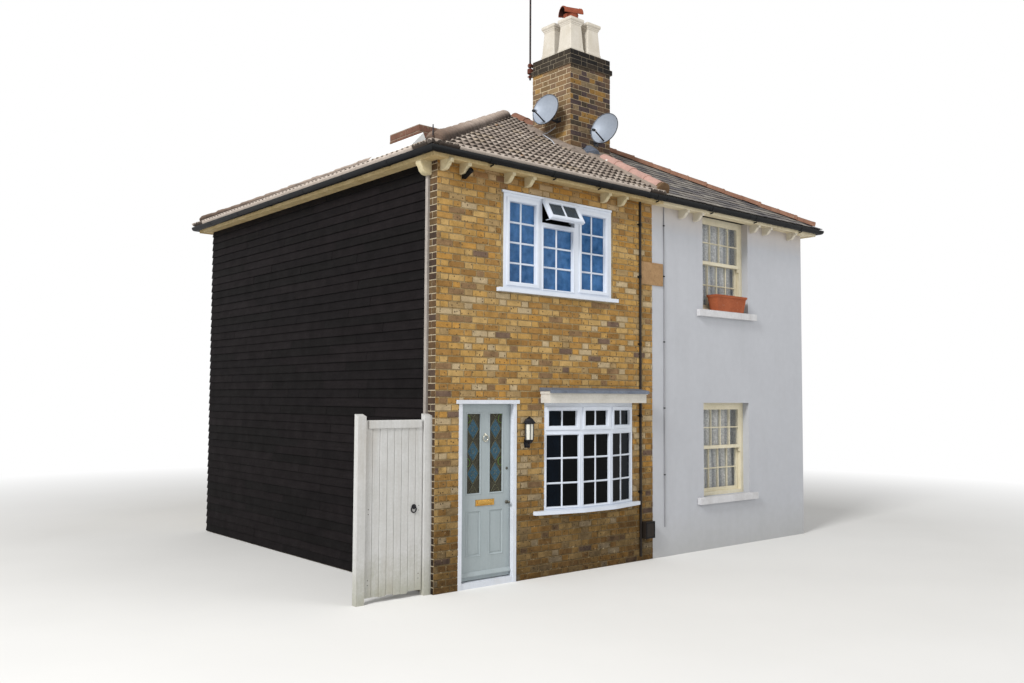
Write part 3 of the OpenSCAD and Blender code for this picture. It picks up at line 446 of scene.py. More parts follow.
def trimmed(piece: bpy.types.Object, planes: Iterable[tuple[Vector, Vector]]) -> bpy.types.Object:
    """Cuts off what lies past each plane, given as a point and an outward normal, and closes the cuts.

    Args:
        piece: An object with a plain mesh.
        planes: The planes.

    Returns:
        The same object.
    """
    work = bmesh.new()
    work.from_mesh(piece.data)
    for point, normal in planes:
        cut = bmesh.ops.bisect_plane(work, geom=work.verts[:] + work.edges[:] + work.faces[:], dist=1e-6,
                                     plane_co=point, plane_no=normal, clear_outer=True)
        edges = [e for e in cut["geom_cut"] if isinstance(e, bmesh.types.BMEdge) and e.is_boundary]
        bmesh.ops.holes_fill(work, edges=edges, sides=0)
    work.to_mesh(piece.data)
    work.free()
    return piece


def joined(name: str, parts: Sequence[bpy.types.Object]) -> bpy.types.Object:
    """Joins objects whose meshes are in place into one, keeping the tones.

    Args:
        name: Its name.
        parts: Objects with plain meshes, which are removed.

    Returns:
        The new object.
    """
    work = bmesh.new()
    for part in parts:
        work.from_mesh(part.data)
        bpy.data.objects.remove(part)
    mesh = bpy.data.meshes.new(name)
    work.to_mesh(mesh)
    work.free()
    return linked(name, mesh)


# ---------------------------------------------------------------- finishes


def colour(code: str) -> tuple[float, float, float, float]:
    """A written colour, such as #a98550, as Blender's linear values."""
    parts = [int(code[i:i + 2], 16) / 255 for i in (1, 3, 5)]
    return (*[p / 12.92 if p < 0.04045 else ((p + 0.055) / 1.055) ** 2.4 for p in parts], 1.0)


class Wiring:
    """Adds and joins nodes in one tree."""

    def __init__(self, tree: bpy.types.NodeTree) -> None:
        """Works on a tree."""
        self.tree = tree

    def add(self, kind: str, values: dict | None = None, **settings: object) -> bpy.types.Node:
        """Adds a node, with settings as attributes and values or sockets into its inputs.

        Args:
            kind: Type of the node.
            values: What goes into each input.
            settings: Its attributes.

        Returns:
            The node.
        """
        node = self.tree.nodes.new(kind)
        for key, value in settings.items():
            setattr(node, key, value)
        for key, value in (values or {}).items():
            if isinstance(value, bpy.types.NodeSocket):
                self.tree.links.new(value, node.inputs[key])
            else:
                node.inputs[key].default_value = value
        return node

    def math(self, operation: str, a: object, b: object = 0.0, clamp: bool = False) -> bpy.types.NodeSocket:
        """The result of one sum."""
        return self.add("ShaderNodeMath", {0: a, 1: b}, operation=operation, use_clamp=clamp).outputs[0]

    def span(self, value: object, low: float, high: float, to: tuple[float, float] = (0.0, 1.0)
             ) -> bpy.types.NodeSocket:
        """A value mapped from low..high to another span, held at its ends."""
        return self.add("ShaderNodeMapRange", {0: value, 1: low, 2: high, 3: to[0], 4: to[1]}).outputs[0]

    def mix(self, share: object, a: object, b: object, mode: str = "MIX") -> bpy.types.NodeSocket:
        """One colour mixed into another by a share."""
        return self.add("ShaderNodeMix", {0: share, 6: a, 7: b}, data_type="RGBA", blend_type=mode).outputs[2]

    def noise(self, vector: object, scale: object, detail: float = 4.0, rough: float = 0.55,
              bend: float = 0.0) -> bpy.types.NodeSocket:
        """A noise value."""
        return self.add("ShaderNodeTexNoise", {"Vector": vector, "Scale": scale, "Detail": detail,
                                               "Roughness": rough, "Distortion": bend}).outputs[0]

    def ramp(self, value: object, stops: Sequence[tuple[float, str]], sharp: bool = False
             ) -> bpy.types.NodeSocket:
        """A colour picked along stops.

        Args:
            value: Place along the stops.
            stops: Places and colours.
            sharp: Whether the colours don't blend.

        Returns:
            The colour.
        """
        node = self.add("ShaderNodeValToRGB", {0: value})
        band = node.color_ramp
        band.interpolation = "CONSTANT" if sharp else "LINEAR"
        band.elements.remove(band.elements[1])
        band.elements[0].position, band.elements[0].color = stops[0][0], colour(stops[0][1])
        for at, code in stops[1:]:
            band.elements.new(at).color = colour(code)
        return node.outputs[0]


def effect(name: str, inputs: dict[str, tuple[str, object]],
           build: Callable[[Wiring, bpy.types.Node], bpy.types.NodeSocket]) -> bpy.types.NodeTree:
    """A shared shader node group with named inputs and one output called Value, built once.

    Args:
        name: Its name.
        inputs: Kind and default of each input.
        build: Makes the nodes and gives their result.

    Returns:
        The group.
    """
    if name in bpy.data.node_groups:
        return bpy.data.node_groups[name]
    tree = bpy.data.node_groups.new(name, "ShaderNodeTree")
    for label, (kind, value) in inputs.items():
        socket = tree.interface.new_socket(label, in_out="INPUT", socket_type="NodeSocket" + kind)
        if value is not None:
            socket.default_value = value
    tree.interface.new_socket("Value", in_out="OUTPUT", socket_type="NodeSocketFloat")
    wire = Wiring(tree)
    result = build(wire, wire.add("NodeGroupInput"))
    wire.add("NodeGroupOutput", {"Value": result})
    return tree


def mottle() -> bpy.types.NodeTree:
    """Cloudy light and dark, coarse and fine together."""
    def build(wire: Wiring, start: bpy.types.Node) -> bpy.types.NodeSocket:
        """Builds the group.

        Args:
            wire: What adds the nodes.
            start: The group's inputs.

        Returns:
            The result.
        """
        vector, scale = start.outputs["Vector"], start.outputs["Scale"]
        coarse = wire.noise(vector, scale, 5.0, 0.6)
        fine = wire.noise(vector, wire.math("MULTIPLY", scale, 8.0), 3.0, 0.6)
        both = wire.math("ADD", wire.math("MULTIPLY", coarse, 0.62), wire.math("MULTIPLY", fine, 0.38))
        far = wire.math("MULTIPLY", wire.math("SUBTRACT", both, 0.5), start.outputs["Contrast"])
        return wire.math("ADD", far, 0.5, clamp=True)
    return effect("mottle", {"Vector": ("Vector", None), "Scale": ("Float", 4.0), "Contrast": ("Float", 2.0)},
                  build)


def rain_stains() -> bpy.types.NodeTree:
    """Stains that run down a wall."""
    def build(wire: Wiring, start: bpy.types.Node) -> bpy.types.NodeSocket:
        """Builds the group.

        Args:
            wire: What adds the nodes.
            start: The group's inputs.

        Returns:
            The result.
        """
        vector = start.outputs["Vector"]
        long = wire.add("ShaderNodeVectorMath", {0: vector, 1: (5.0, 5.0, 0.45)}, operation="MULTIPLY").outputs[0]
        runs = wire.span(wire.noise(long, 1.0, 6.0, 0.62), 0.46, 0.72)
        patches = wire.span(wire.noise(vector, 0.9, 3.0), 0.38, 0.66)
        return wire.math("MULTIPLY", wire.math("MULTIPLY", runs, patches), start.outputs["Amount"], clamp=True)
    return effect("rain_stains", {"Vector": ("Vector", None), "Amount": ("Float", 0.5)}, build)


def growth() -> bpy.types.NodeTree:
    """Patches of moss, lichen, soot or rust."""
    def build(wire: Wiring, start: bpy.types.Node) -> bpy.types.NodeSocket:
        """Builds the group.

        Args:
            wire: What adds the nodes.
            start: The group's inputs.

        Returns:
            The result.
        """
        spread = wire.noise(start.outputs["Vector"], start.outputs["Scale"], 7.0, 0.7, 0.3)
        edge = wire.math("SUBTRACT", 0.86, wire.math("MULTIPLY", start.outputs["Cover"], 0.6))
        return wire.span(wire.math("SUBTRACT", spread, edge), -0.09, 0.05)
    return effect("growth", {"Vector": ("Vector", None), "Scale": ("Float", 9.0), "Cover": ("Float", 0.4)}, build)


def pits() -> bpy.types.NodeTree:
    """Small round spots in a share of the cells of a Voronoi pattern."""
    def build(wire: Wiring, start: bpy.types.Node) -> bpy.types.NodeSocket:
        """Builds the group.

        Args:
            wire: What adds the nodes.
            start: The group's inputs.

        Returns:
            The result.
        """
        cells = wire.add("ShaderNodeTexVoronoi", {"Vector": start.outputs["Vector"], "Scale": start.outputs["Scale"]})
        chance = wire.add("ShaderNodeSeparateColor", {0: cells.outputs["Color"]}).outputs[0]
        chosen = wire.math("MULTIPLY", wire.math("SUBTRACT", start.outputs["Share"], chance), 40.0, clamp=True)
        spot = wire.span(cells.outputs["Distance"], 0.34, 0.2)
        return wire.math("MULTIPLY", chosen, spot, clamp=True)
    return effect("pits", {"Vector": ("Vector", None), "Scale": ("Float", 40.0), "Share": ("Float", 0.3)}, build)


@dataclass(frozen=True)
class Zone:
    """A change of colour along one axis: nothing at its start, its whole share where it is full.

    Attributes:
        axis: 0, 1 or 2 for X, Y or Z.
        start: Place where it starts.
        full: Place where it has its whole share.
        colour: Its colour.
        share: Its whole share.
        mode: How its colour is mixed in.
        ragged: How far the mottling shifts its places.
    """

    axis: int
    start: float
    full: float
    colour: str
    share: float = 1.0
    mode: str = "MIX"
    ragged: float = 0.0

    def blend(self, wire: Wiring, vector: bpy.types.NodeSocket, cloud: bpy.types.NodeSocket,
              tint: bpy.types.NodeSocket) -> bpy.types.NodeSocket:
        """The tint with this zone in it.

        Args:
            wire: What adds the nodes.
            vector: Places on the object.
            cloud: The mottling.
            tint: The colour so far.

        Returns:
            The new colour.
        """
        place = wire.add("ShaderNodeSeparateXYZ", {0: vector}).outputs[self.axis]
        if self.ragged:
            shift = wire.math("MULTIPLY", wire.math("SUBTRACT", cloud, 0.5), self.ragged)
            place = wire.math("ADD", place, shift)
        share = wire.span(place, self.start, self.full, (0.0, self.share))
        return wire.mix(share, tint, colour(self.colour), self.mode)


@dataclass(frozen=True)
class Finish:
    """A solid, weathered finish: mottled between two colours, with tones, grain, stains, growth and relief.

    Attributes:
        name: Name of the material.
        light: Colour where it is palest.
        dark: Colour where it is darkest.
        scale: Scale of the mottling.
        contrast: Strength of the mottling.
        rough: Roughness from its smoothest to its roughest.
        metal: Metallic.
        coat: Coat weight.
        relief: Depth of the bumps.
        fine: Scale of the bumps.
        stain: Colour of rain stains, with their amount.
        growth: Colour of growth, with its cover and scale.
        grain: Stretch of a grain, where it has one.
        tones: Colours that the laid units share out, by their tone.
        zones: Changes of colour along an axis.
        pits: Colour of small spots, with their share and scale.
        shade_and_dirt: Colour of the painted shade, with grime, where the shape asks for it.
        shine: Specular level.
    """

    name: str
    light: str
    dark: str
    scale: float = 4.0
    contrast: float = 2.0
    rough: tuple[float, float] = (0.72, 0.92)
    metal: float = 0.0
    coat: float = 0.0
    relief: float = 0.001
    fine: float = 110.0
    stain: tuple[str, float] = ("", 0.0)
    growth: tuple[str, float, float] = ("", 0.0, 9.0)
    grain: tuple[float, float, float] | None = None
    tones: tuple[tuple[float, str], ...] = ()
    zones: tuple[Zone, ...] = ()
    pits: tuple[str, float, float] = ("", 0.0, 40.0)
    shade_and_dirt: str = ""
    shine: float = 0.2

    def material(self) -> bpy.types.Material:
        """The material, built once."""
        name = self.name + "_finish"
        if name in bpy.data.materials:
            return bpy.data.materials[name]
        material = bpy.data.materials.new(name)
        material.use_nodes = True
        material.node_tree.nodes.clear()
        self.wire(Wiring(material.node_tree))
        return material

    def group(self, wire: Wiring, tree: bpy.types.NodeTree, values: dict) -> bpy.types.NodeSocket:
        """A shared effect's value."""
        return wire.add("ShaderNodeGroup", values, node_tree=tree).outputs[0]

    def clouded(self, wire: Wiring) -> tuple[bpy.types.NodeSocket, bpy.types.NodeSocket]:
        """Places on the object and the mottling there."""
        vector = wire.add("ShaderNodeTexCoord").outputs["Object"]
        return vector, self.group(wire, mottle(), {"Vector": vector, "Scale": self.scale, "Contrast": self.contrast})

    def zoned(self, wire: Wiring, vector: bpy.types.NodeSocket, cloud: bpy.types.NodeSocket,
              tint: bpy.types.NodeSocket | None = None) -> bpy.types.NodeSocket:
        """A tint, or the mottled colour, with the finish's zones in it.

        Args:
            wire: What adds the nodes.
            vector: Places on the object.
            cloud: The mottling.
            tint: The colour so far, or None.

        Returns:
            The new colour.
        """
        if tint is None:
            tint = wire.mix(cloud, colour(self.dark), colour(self.light))
        for zone in self.zones:
            tint = zone.blend(wire, vector, cloud, tint)
        return tint

    def base(self, wire: Wiring, vector: bpy.types.NodeSocket, cloud: bpy.types.NodeSocket
             ) -> bpy.types.NodeSocket:
        """The colour over the surface.

        Args:
            wire: What adds the nodes.
            vector: Places on the object.
            cloud: The mottling.

        Returns:
            The colour.
        """
        tint = wire.mix(cloud, colour(self.dark), colour(self.light))
        if self.tones:
            tone = wire.add("ShaderNodeAttribute", attribute_name="tone").outputs["Fac"]
            picked = wire.ramp(tone, self.tones, sharp=True)
            shade = wire.mix(cloud, (0.62, 0.62, 0.62, 1), (1.32, 1.32, 1.32, 1))
            tint = wire.mix(1.0, wire.mix(0.22, picked, tint), shade, "MULTIPLY")
        if self.grain:
            stretched = wire.add("ShaderNodeVectorMath", {0: vector, 1: self.grain}, operation="MULTIPLY").outputs[0]
            lines = wire.span(wire.noise(stretched, 1.0, 5.0, 0.6, 0.4), 0.42, 0.7)
            tint = wire.mix(wire.math("MULTIPLY", lines, 0.5), tint, colour(self.dark))
        if self.pits[1]:
            share = self.group(wire, pits(), {"Vector": vector, "Scale": self.pits[2], "Share": self.pits[1]})
            tint = wire.mix(share, tint, colour(self.pits[0]))
        tint = self.zoned(wire, vector, cloud, tint)
        # Painted shade, with grime, where the shape's attribute asks for it, patchy with the mottling.
        if self.shade_and_dirt:
            share = wire.add("ShaderNodeAttribute", attribute_name="shade_and_dirt").outputs["Fac"]
            share = wire.math("MULTIPLY", share, wire.span(cloud, 0.0, 1.0, (1.0, 0.7)))
            tint = wire.mix(share, tint, colour(self.shade_and_dirt))
        if self.stain[1]:
            share = self.group(wire, rain_stains(), {"Vector": vector, "Amount": self.stain[1]})
            tint = wire.mix(share, tint, colour(self.stain[0]))
        return tint

    def wire(self, wire: Wiring) -> None:
        """Builds the nodes.

        Args:
            wire: What adds the nodes.
        """
        vector, cloud = self.clouded(wire)
        tint = self.base(wire, vector, cloud)
        height = wire.math("ADD", wire.math("MULTIPLY", wire.noise(vector, self.fine, 4.0, 0.65), 0.6),
                           wire.math("MULTIPLY", cloud, 0.4))
        rough = wire.span(cloud, 0.0, 1.0, (self.rough[1], self.rough[0]))
        metal: object = self.metal
        if self.growth[1]:
            patch = self.group(wire, growth(), {"Vector": vector, "Scale": self.growth[2], "Cover": self.growth[1]})
            tint = wire.mix(patch, tint, colour(self.growth[0]))
            rough = wire.add("ShaderNodeMix", {0: patch, 2: rough, 3: 0.95}).outputs[0]
            height = wire.math("ADD", height, wire.math("MULTIPLY", patch, 0.8))
            if self.metal:
                metal = wire.math("MULTIPLY", wire.math("SUBTRACT", 1.0, patch), self.metal)
        bump = wire.add("ShaderNodeBump", {"Height": height, "Strength": 0.9, "Distance": self.relief})
        shader = wire.add("ShaderNodeBsdfPrincipled", {
            "Base Color": tint, "Roughness": rough, "Metallic": metal, "Coat Weight": self.coat,
            "Coat Roughness": 0.2, "Specular IOR Level": self.shine, "Normal": bump.outputs[0]})
        wire.add("ShaderNodeOutputMaterial", {"Surface": shader.outputs[0]})


@dataclass(frozen=True)
class Glass(Finish):
    """Glass with a tint that changes slightly over the panes.

    Attributes:
        clear: Share of light that it refracts.
        ior: Its index of refraction.
        sheer: Two places along X and the alpha of the panes beyond the second.
    """

    clear: float = 0.5
    ior: float = 1.45
    sheer: tuple[float, float, float] | None = None

    def wire(self, wire: Wiring) -> None:
        """Builds the nodes.

        Args:
            wire: What adds the nodes.
        """
        vector, cloud = self.clouded(wire)
        tint = self.zoned(wire, vector, cloud)
        wave = wire.noise(vector, 2.2, 1.0)
        bump = wire.add("ShaderNodeBump", {"Height": wave, "Strength": 0.25, "Distance": self.relief})
        shader = wire.add("ShaderNodeBsdfPrincipled", {
            "Base Color": tint, "Roughness": wire.span(cloud, 0.0, 1.0, self.rough), "Metallic": 0.0, "IOR": self.ior,
            "Specular IOR Level": self.shine, "Transmission Weight": self.clear, "Normal": bump.outputs[0]})
        if self.sheer:
            place = wire.add("ShaderNodeSeparateXYZ", {0: vector}).outputs[0]
            start, full, alpha = self.sheer
            wire.tree.links.new(wire.span(place, start, full, (1.0, alpha)), shader.inputs["Alpha"])
        wire.add("ShaderNodeOutputMaterial", {"Surface": shader.outputs[0]})


@dataclass(frozen=True)
class Net(Finish):
    """Thin woven cloth that lets light through; weave is the scale of its threads."""

    weave: float = 900.0

    def wire(self, wire: Wiring) -> None:
        """Builds the nodes.

        Args:
            wire: What adds the nodes.
        """
        vector, cloud = self.clouded(wire)
        spots = wire.span(wire.noise(vector, 42.0, 2.0), 0.45, 0.6, (0.62, 0.9))
        tone = self.zoned(wire, vector, cloud)
        threads = wire.add("ShaderNodeTexWave", {"Vector": vector, "Scale": self.weave}).outputs[1]
        bump = wire.add("ShaderNodeBump", {"Height": threads, "Strength": 0.3, "Distance": self.relief})
        shader = wire.add("ShaderNodeBsdfPrincipled", {
            "Base Color": tone, "Roughness": wire.span(cloud, 0.0, 1.0, self.rough), "Alpha": spots,
            "Normal": bump.outputs[0]})
        wire.add("ShaderNodeOutputMaterial", {"Surface": shader.outputs[0]})


# ---------------------------------------------------------------- the finishes of these houses

STOCK_TONES = ((0.0, "#b08a4c"), (0.17, "#a57c40"), (0.30, "#bb9a62"), (0.43, "#b7a585"), (0.53, "#98703a"),
               (0.66, "#b1823c"), (0.76, "#a0875f"), (0.85, "#86602f"), (0.93, "#7a6048"), (0.975, "#574849"))
STACK_TONES = ((0.0, "#403538"), (0.18, "#5e4938"), (0.34, "#3b342a"), (0.48, "#8e6b34"), (0.60, "#4c3e37"),
               (0.73, "#6c543b"), (0.84, "#7d6b50"), (0.92, "#312c2d"))
SOOT_TONES = ((0.0, "#161412"), (0.3, "#0f0d0d"), (0.55, "#2c241b"), (0.8, "#131111"))
# The return's stock bricks in darker tones than the front's: painted shade of the neighbouring house, with grime.
RETURN_TONES_SHADE_AND_GRIME = ((0.0, "#55412b"), (0.25, "#382b23"), (0.45, "#5a472d"), (0.65, "#2d2420"), (0.8, "#624f36"),
                (0.92, "#433731"))
TILE_TONES = ((0.0, "#a4978c"), (0.2, "#b2a599"), (0.4, "#998c80"), (0.58, "#bbaea1"), (0.74, "#a69784"),
              (0.88, "#91847a"))
SLATE_TONES = ((0.0, "#77726d"), (0.18, "#87827c"), (0.36, "#625f60"), (0.54, "#948d84"), (0.72, "#545256"),
               (0.86, "#a09a90"))
BOARD_TONES = ((0.0, "#171314"), (0.25, "#141112"), (0.5, "#1a1617"), (0.75, "#121010"))

# Darker towards the ground; under the bow window this is painted shade of its sill.
GROUND_DARKENING = Zone(2, 1.9, -0.05, "#5e5c60", 0.9, "MULTIPLY", 0.6)
# Darker and warmer towards the eaves: painted shade with a warm bounce of light.
EAVES_PAINTED_SHADE = Zone(2, 4.45, 4.76, "#86581f", 0.4, "MIX", 0.1)
# Painted shade round the sides and worn edges of each brick, in #7a6440.
FRONT_BRICK = Finish("stock_brick", "#bd9a62", "#7c5f35", 11.0, 2.0, (0.8, 0.95), relief=0.0022, fine=120.0,
                     stain=("#6e5a3e", 0.3), tones=STOCK_TONES, growth=("#b3a07c", 0.26, 19.0),
                     pits=("#4a3a26", 0.30, 30.0), shade_and_dirt="#7a6440", zones=(GROUND_DARKENING, EAVES_PAINTED_SHADE))
FRONT_MORTAR = Finish("front_mortar", "#b5a27c", "#6f5a38", 9.0, 2.6, (0.85, 0.96), relief=0.002, fine=90.0,
                      growth=("#c2b08c", 0.34, 19.0),
                      zones=(GROUND_DARKENING, EAVES_PAINTED_SHADE, Zone(0, -3.6100, -3.6115, "#b5a992", 0.85)))
RETURN_BRICK_SHADE_AND_GRIME = Finish("return_brick_shade_and_grime", "#735a3f", "#3b2f2a", 11.0, 1.9, (0.8, 0.95), relief=0.002,
                      tones=RETURN_TONES_SHADE_AND_GRIME, zones=(GROUND_DARKENING,))
# Painted sunlight: the stack's left face is screened paler than its other faces.
STACK_PAINTED_SUNLIGHT = Zone(0, -0.3965, -0.3985, "#6d5638", 0.9, "SCREEN")
STACK_BRICK = Finish("chimney_brick", "#6e5b49", "#302b27", 11.0, 2.0, (0.82, 0.96), relief=0.0022,
                     tones=STACK_TONES, pits=("#2c2624", 0.25, 34.0), zones=(STACK_PAINTED_SUNLIGHT,))
# Its left face is a little paler: painted sunlight.
SOOTED_BRICK = Finish("sooted_brick", "#4b453f", "#262422", 9.0, 1.8, (0.85, 0.96), relief=0.002,
                      tones=SOOT_TONES, zones=(Zone(0, -0.3965, -0.3985, "#6a5e4e", 0.2),))
STUB_MORTAR = Finish("stub_mortar", "#9a8775", "#6b5a4e", 9.0, 1.8, (0.85, 0.96), relief=0.002)
STUB_BRICK = Finish("stub_brick", "#7d5a49", "#4d3630", 9.0, 1.6, (0.82, 0.96), relief=0.002,
                    growth=("#8d8a70", 0.3, 14.0))
# Its joints on the stack's left face are paler: painted sunlight; near the head they darken with soot.
STACK_MORTAR = Finish("stack_mortar", "#b3a285", "#857660", 9.0, 1.8, (0.85, 0.96), relief=0.002,
                      zones=(Zone(0, -0.3960, -0.3975, "#cdbd9f", 0.85), Zone(2, 6.92, 6.96, "#6b6357", 0.8)))
FILLET = Finish("mortar_fillet", "#a6978a", "#6e645c", 7.0, 2.0, (0.85, 0.96), relief=0.003, fine=60.0,
                growth=("#6b6758", 0.25, 11.0))
APRON_PAINT = Finish("apron_paint", "#e9ebea", "#d5d9db", 5.0, 1.6, (0.5, 0.75), relief=0.001,
                     stain=("#8f9296", 0.35))
PLASTER = Finish("inner_plaster", "#bdb4a4", "#a3998a", 2.5, 1.4, (0.85, 0.95), relief=0.0006, fine=60.0)
FLOORING = Finish("floorboards", "#8a6846", "#65492f", 3.0, 1.6, (0.5, 0.75), grain=(3.0, 60.0, 3.0))
# Darker towards the ground, and warmer and darker under the eaves, where this is painted shade.
RENDER = Finish("render", "#bdbfc4", "#b1b3b8", 1.3, 1.3, (0.8, 0.94), relief=0.0012, fine=80.0,
                stain=("#97979a", 0.16), zones=(Zone(2, 0.6, -0.2, "#a9a8a2", 0.6, "MIX", 0.3),
                                                Zone(2, 4.4, 4.76, "#c9ab80", 0.3, "MIX", 0.1)))
TARRED = Finish("tarred_boards", "#1b1718", "#0b0a0a", 5.0, 1.6, (0.6, 0.85), relief=0.001, fine=60.0,
                grain=(2.0, 2.2, 45.0), tones=BOARD_TONES, growth=("#2d2826", 0.12, 5.0), shine=0.06)
# Painted shade at the tiles' feet, in their troughs and under their laps, in #1d1816.
PANTILE = Finish("concrete_tile", "#c4b6a9", "#8f8277", 8.0, 1.5, (0.8, 0.96), relief=0.002, fine=90.0,
                 tones=TILE_TONES, growth=("#8d7b62", 0.20, 9.0), pits=("#b57f4c", 0.03, 12.0), shade_and_dirt="#1d1816")
# Painted shade under each slate's foot and at its lapped head, in #2d2c30.
SLATE = Finish("slate", "#857d78", "#514d50", 8.0, 2.2, (0.6, 0.85), relief=0.0016, fine=120.0,
               tones=SLATE_TONES, growth=("#a5a08e", 0.25, 15.0), shade_and_dirt="#2d2c30")
RIDGE_STOP = Finish("ridge_stop", "#7d6448", "#4a382b", 14.0, 2.0, (0.85, 0.96), relief=0.003)
# Dark filling by the hips' feet: painted shade, with grime.
CORNER_SHADE_AND_DIRT = Finish("corner_shade_and_dirt", "#4b423b", "#2c2622", 16.0, 2.0, (0.9, 0.98), relief=0.004)
EAVES_FILL = Finish("eaves_filling", "#c8bcb1", "#a2968b", 9.0, 2.0, (0.85, 0.96), relief=0.002)
# Painted shade down the lower sides of the hips, in #2f2926.
MOSS_ROLL = Finish("mossy_concrete", "#cdbbad", "#94867b", 10.0, 2.6, (0.9, 0.98), relief=0.006, fine=70.0,
                   growth=("#5f574a", 0.28, 13.0), shade_and_dirt="#2f2926",
                   zones=(Zone(2, 5.75, 5.05, "#8a7668", 0.8, "MULTIPLY"),))
CLAY_HIP = Finish("clay_tile", "#9f7963", "#6f4d40", 6.0, 2.2, (0.8, 0.95), relief=0.002,
                  growth=("#a39a86", 0.24, 14.0))
RIDGE = Finish("pink_ridge", "#d2aa9c", "#a5847a", 6.0, 2.0, (0.8, 0.95), relief=0.0022,
               growth=("#a79c8a", 0.22, 11.0), pits=("#e8e4da", 0.12, 10.0))
LICHEN_RIDGE = Finish("apex_ridge", "#9a705c", "#775446", 6.0, 2.0, (0.8, 0.95), relief=0.0022,
                      growth=("#b9855c", 0.26, 9.0))
CREAM = Finish("cream_paint", "#d9cdac", "#b3a47c", 6.0, 2.0, (0.35, 0.6), relief=0.0008,
               stain=("#8d7a55", 0.4), zones=(Zone(0, 0.0, 0.1, "#d3cdbf", 0.8),))
SASH_PAINT = Finish("sash_paint", "#e6dfc9", "#cdc3a6", 6.0, 1.8, (0.35, 0.6), relief=0.0008,
                    stain=("#a3977b", 0.3))
SOFFIT = Finish("eaves_paint", "#d6c294", "#a98f5f", 4.0, 2.2, (0.5, 0.75), relief=0.0008,
                stain=("#7d6238", 0.5), growth=("#8e7648", 0.25, 8.0), zones=(Zone(0, 0.0, 0.05, "#e6dcc0", 0.75),))
CORNICE = Finish("cornice_paint", "#dbd8d1", "#b9b5ab", 5.0, 1.8, (0.4, 0.65), relief=0.0008,
                 stain=("#86827a", 0.35))
# Painted shade inside the pots' bores, and a darker band at their feet, in #6e6250.
CREAM_CLAY = Finish("cream_clay", "#dad4ca", "#c0b8a8", 5.0, 1.8, (0.75, 0.92), relief=0.0015,
                    stain=("#b0a388", 0.4), growth=("#8f8a70", 0.1, 12.0), shade_and_dirt="#6e6250")
# Painted shade under the cowl's arch, in #1d1210.
ORANGE_CLAY = Finish("orange_clay", "#9b5137", "#6c3526", 6.0, 2.2, (0.6, 0.85), relief=0.0015,
                     growth=("#6a4334", 0.25, 14.0), shade_and_dirt="#1d1210")
BLACK = Finish("black_plastic", "#121316", "#0a0b0c", 5.0, 1.5, (0.4, 0.6), relief=0.0003, coat=0.05,
               stain=("#26261f", 0.2), shine=0.12)
SERVICES = Finish("service_pipes", "#2f2823", "#1d1916", 5.0, 1.5, (0.4, 0.6), relief=0.0003, shine=0.15,
                  zones=(Zone(0, 0.02, 0.04, "#9c9da1", 0.8),))
DISH_GREY = Finish("grey_metal", "#aab2bd", "#8d96a3", 3.0, 1.4, (0.35, 0.55), metal=0.1, relief=0.0003,
                   growth=("#8b8a85", 0.12, 10.0))
DARK_RIM = Finish("dish_rim", "#2e3036", "#1c1d21", 6.0, 1.4, (0.4, 0.6), relief=0.0003)
RUST_IRON = Finish("rusty_iron", "#3a3839", "#242325", 8.0, 1.8, (0.5, 0.75), metal=0.6, relief=0.0012,
                   growth=("#6d4733", 0.4, 26.0))
RUST_RED = Finish("rust_red", "#7b4534", "#3c2622", 30.0, 2.0, (0.7, 0.9), relief=0.002,
                  growth=("#2c2523", 0.3, 22.0))
WHITE_FRAME = Finish("white_frame", "#dbe1ea", "#c9d0dc", 4.0, 1.3, (0.25, 0.4), relief=0.0003, coat=0.1,
                     stain=("#b3b7bd", 0.2))
LEAD = Finish("lead", "#7e8694", "#565d69", 6.0, 2.0, (0.45, 0.7), metal=0.35, relief=0.002, fine=40.0,
              growth=("#a7adb4", 0.25, 9.0))
BRASS = Finish("brass_fittings", "#d9b064", "#b0843c", 9.0, 1.5, (0.16, 0.34), metal=1.0, relief=0.0004)
SAGE = Finish("sage_paint", "#a7b0b2", "#98a2a5", 5.0, 1.4, (0.35, 0.55), relief=0.0008, fine=60.0,
              grain=(60.0, 60.0, 3.0), stain=("#7f8a89", 0.25))
BLACK_IRON = Finish("black_iron", "#2c2c30", "#161619", 9.0, 1.6, (0.35, 0.6), metal=0.5, relief=0.0008)
STONE_PAINT = Finish("stone_paint", "#d6d6d8", "#bcbbbc", 5.0, 1.8, (0.6, 0.85), relief=0.0014,
                     stain=("#85837c", 0.45))
TERRACOTTA = Finish("terracotta", "#b0623f", "#84452c", 6.0, 1.8, (0.7, 0.9), relief=0.0014,
                    growth=("#a89a8a", 0.25, 13.0))
WHITE_WOOD = Finish("white_wood", "#cfcfce", "#b5b4b0", 5.0, 1.6, (0.45, 0.7), relief=0.001, fine=60.0,
                    grain=(38.0, 38.0, 1.6), stain=("#a08d6e", 0.42),
                    zones=(Zone(2, 0.5, 0.0, "#9a9a86", 0.6, "MIX", 0.4),))
TAN_STONE = Finish("tan_stone", "#b08e67", "#8a6d4d", 9.0, 2.2, (0.8, 0.94), relief=0.002,
                   growth=("#77654c", 0.3, 13.0))
PALE_PANE = Finish("lantern_pane", "#e6e4da", "#cfccbf", 9.0, 1.2, (0.2, 0.35), relief=0.0002)
OVAL_BLUE = Finish("coloured_glass", "#42687c", "#1d333d", 60.0, 3.0, (0.1, 0.25), relief=0.0006)
DOOR_WHITE = Finish("door_white", "#dfe3ea", "#c6cbd4", 5.0, 1.6, (0.35, 0.55), relief=0.0008, fine=60.0,
                    stain=("#a39c8c", 0.3))
CAME = Finish("came_metal", "#7f8068", "#4d4e3c", 20.0, 1.6, (0.35, 0.5), metal=0.5, relief=0.0004)
GREEN_GLASS = Finish("green_glass", "#6f8f3c", "#3e5a26", 50.0, 2.0, (0.1, 0.25), relief=0.0004)
NICKEL = Finish("pale_metal", "#dcd9cb", "#b5b1a1", 9.0, 1.4, (0.18, 0.32), metal=0.9, relief=0.0004)
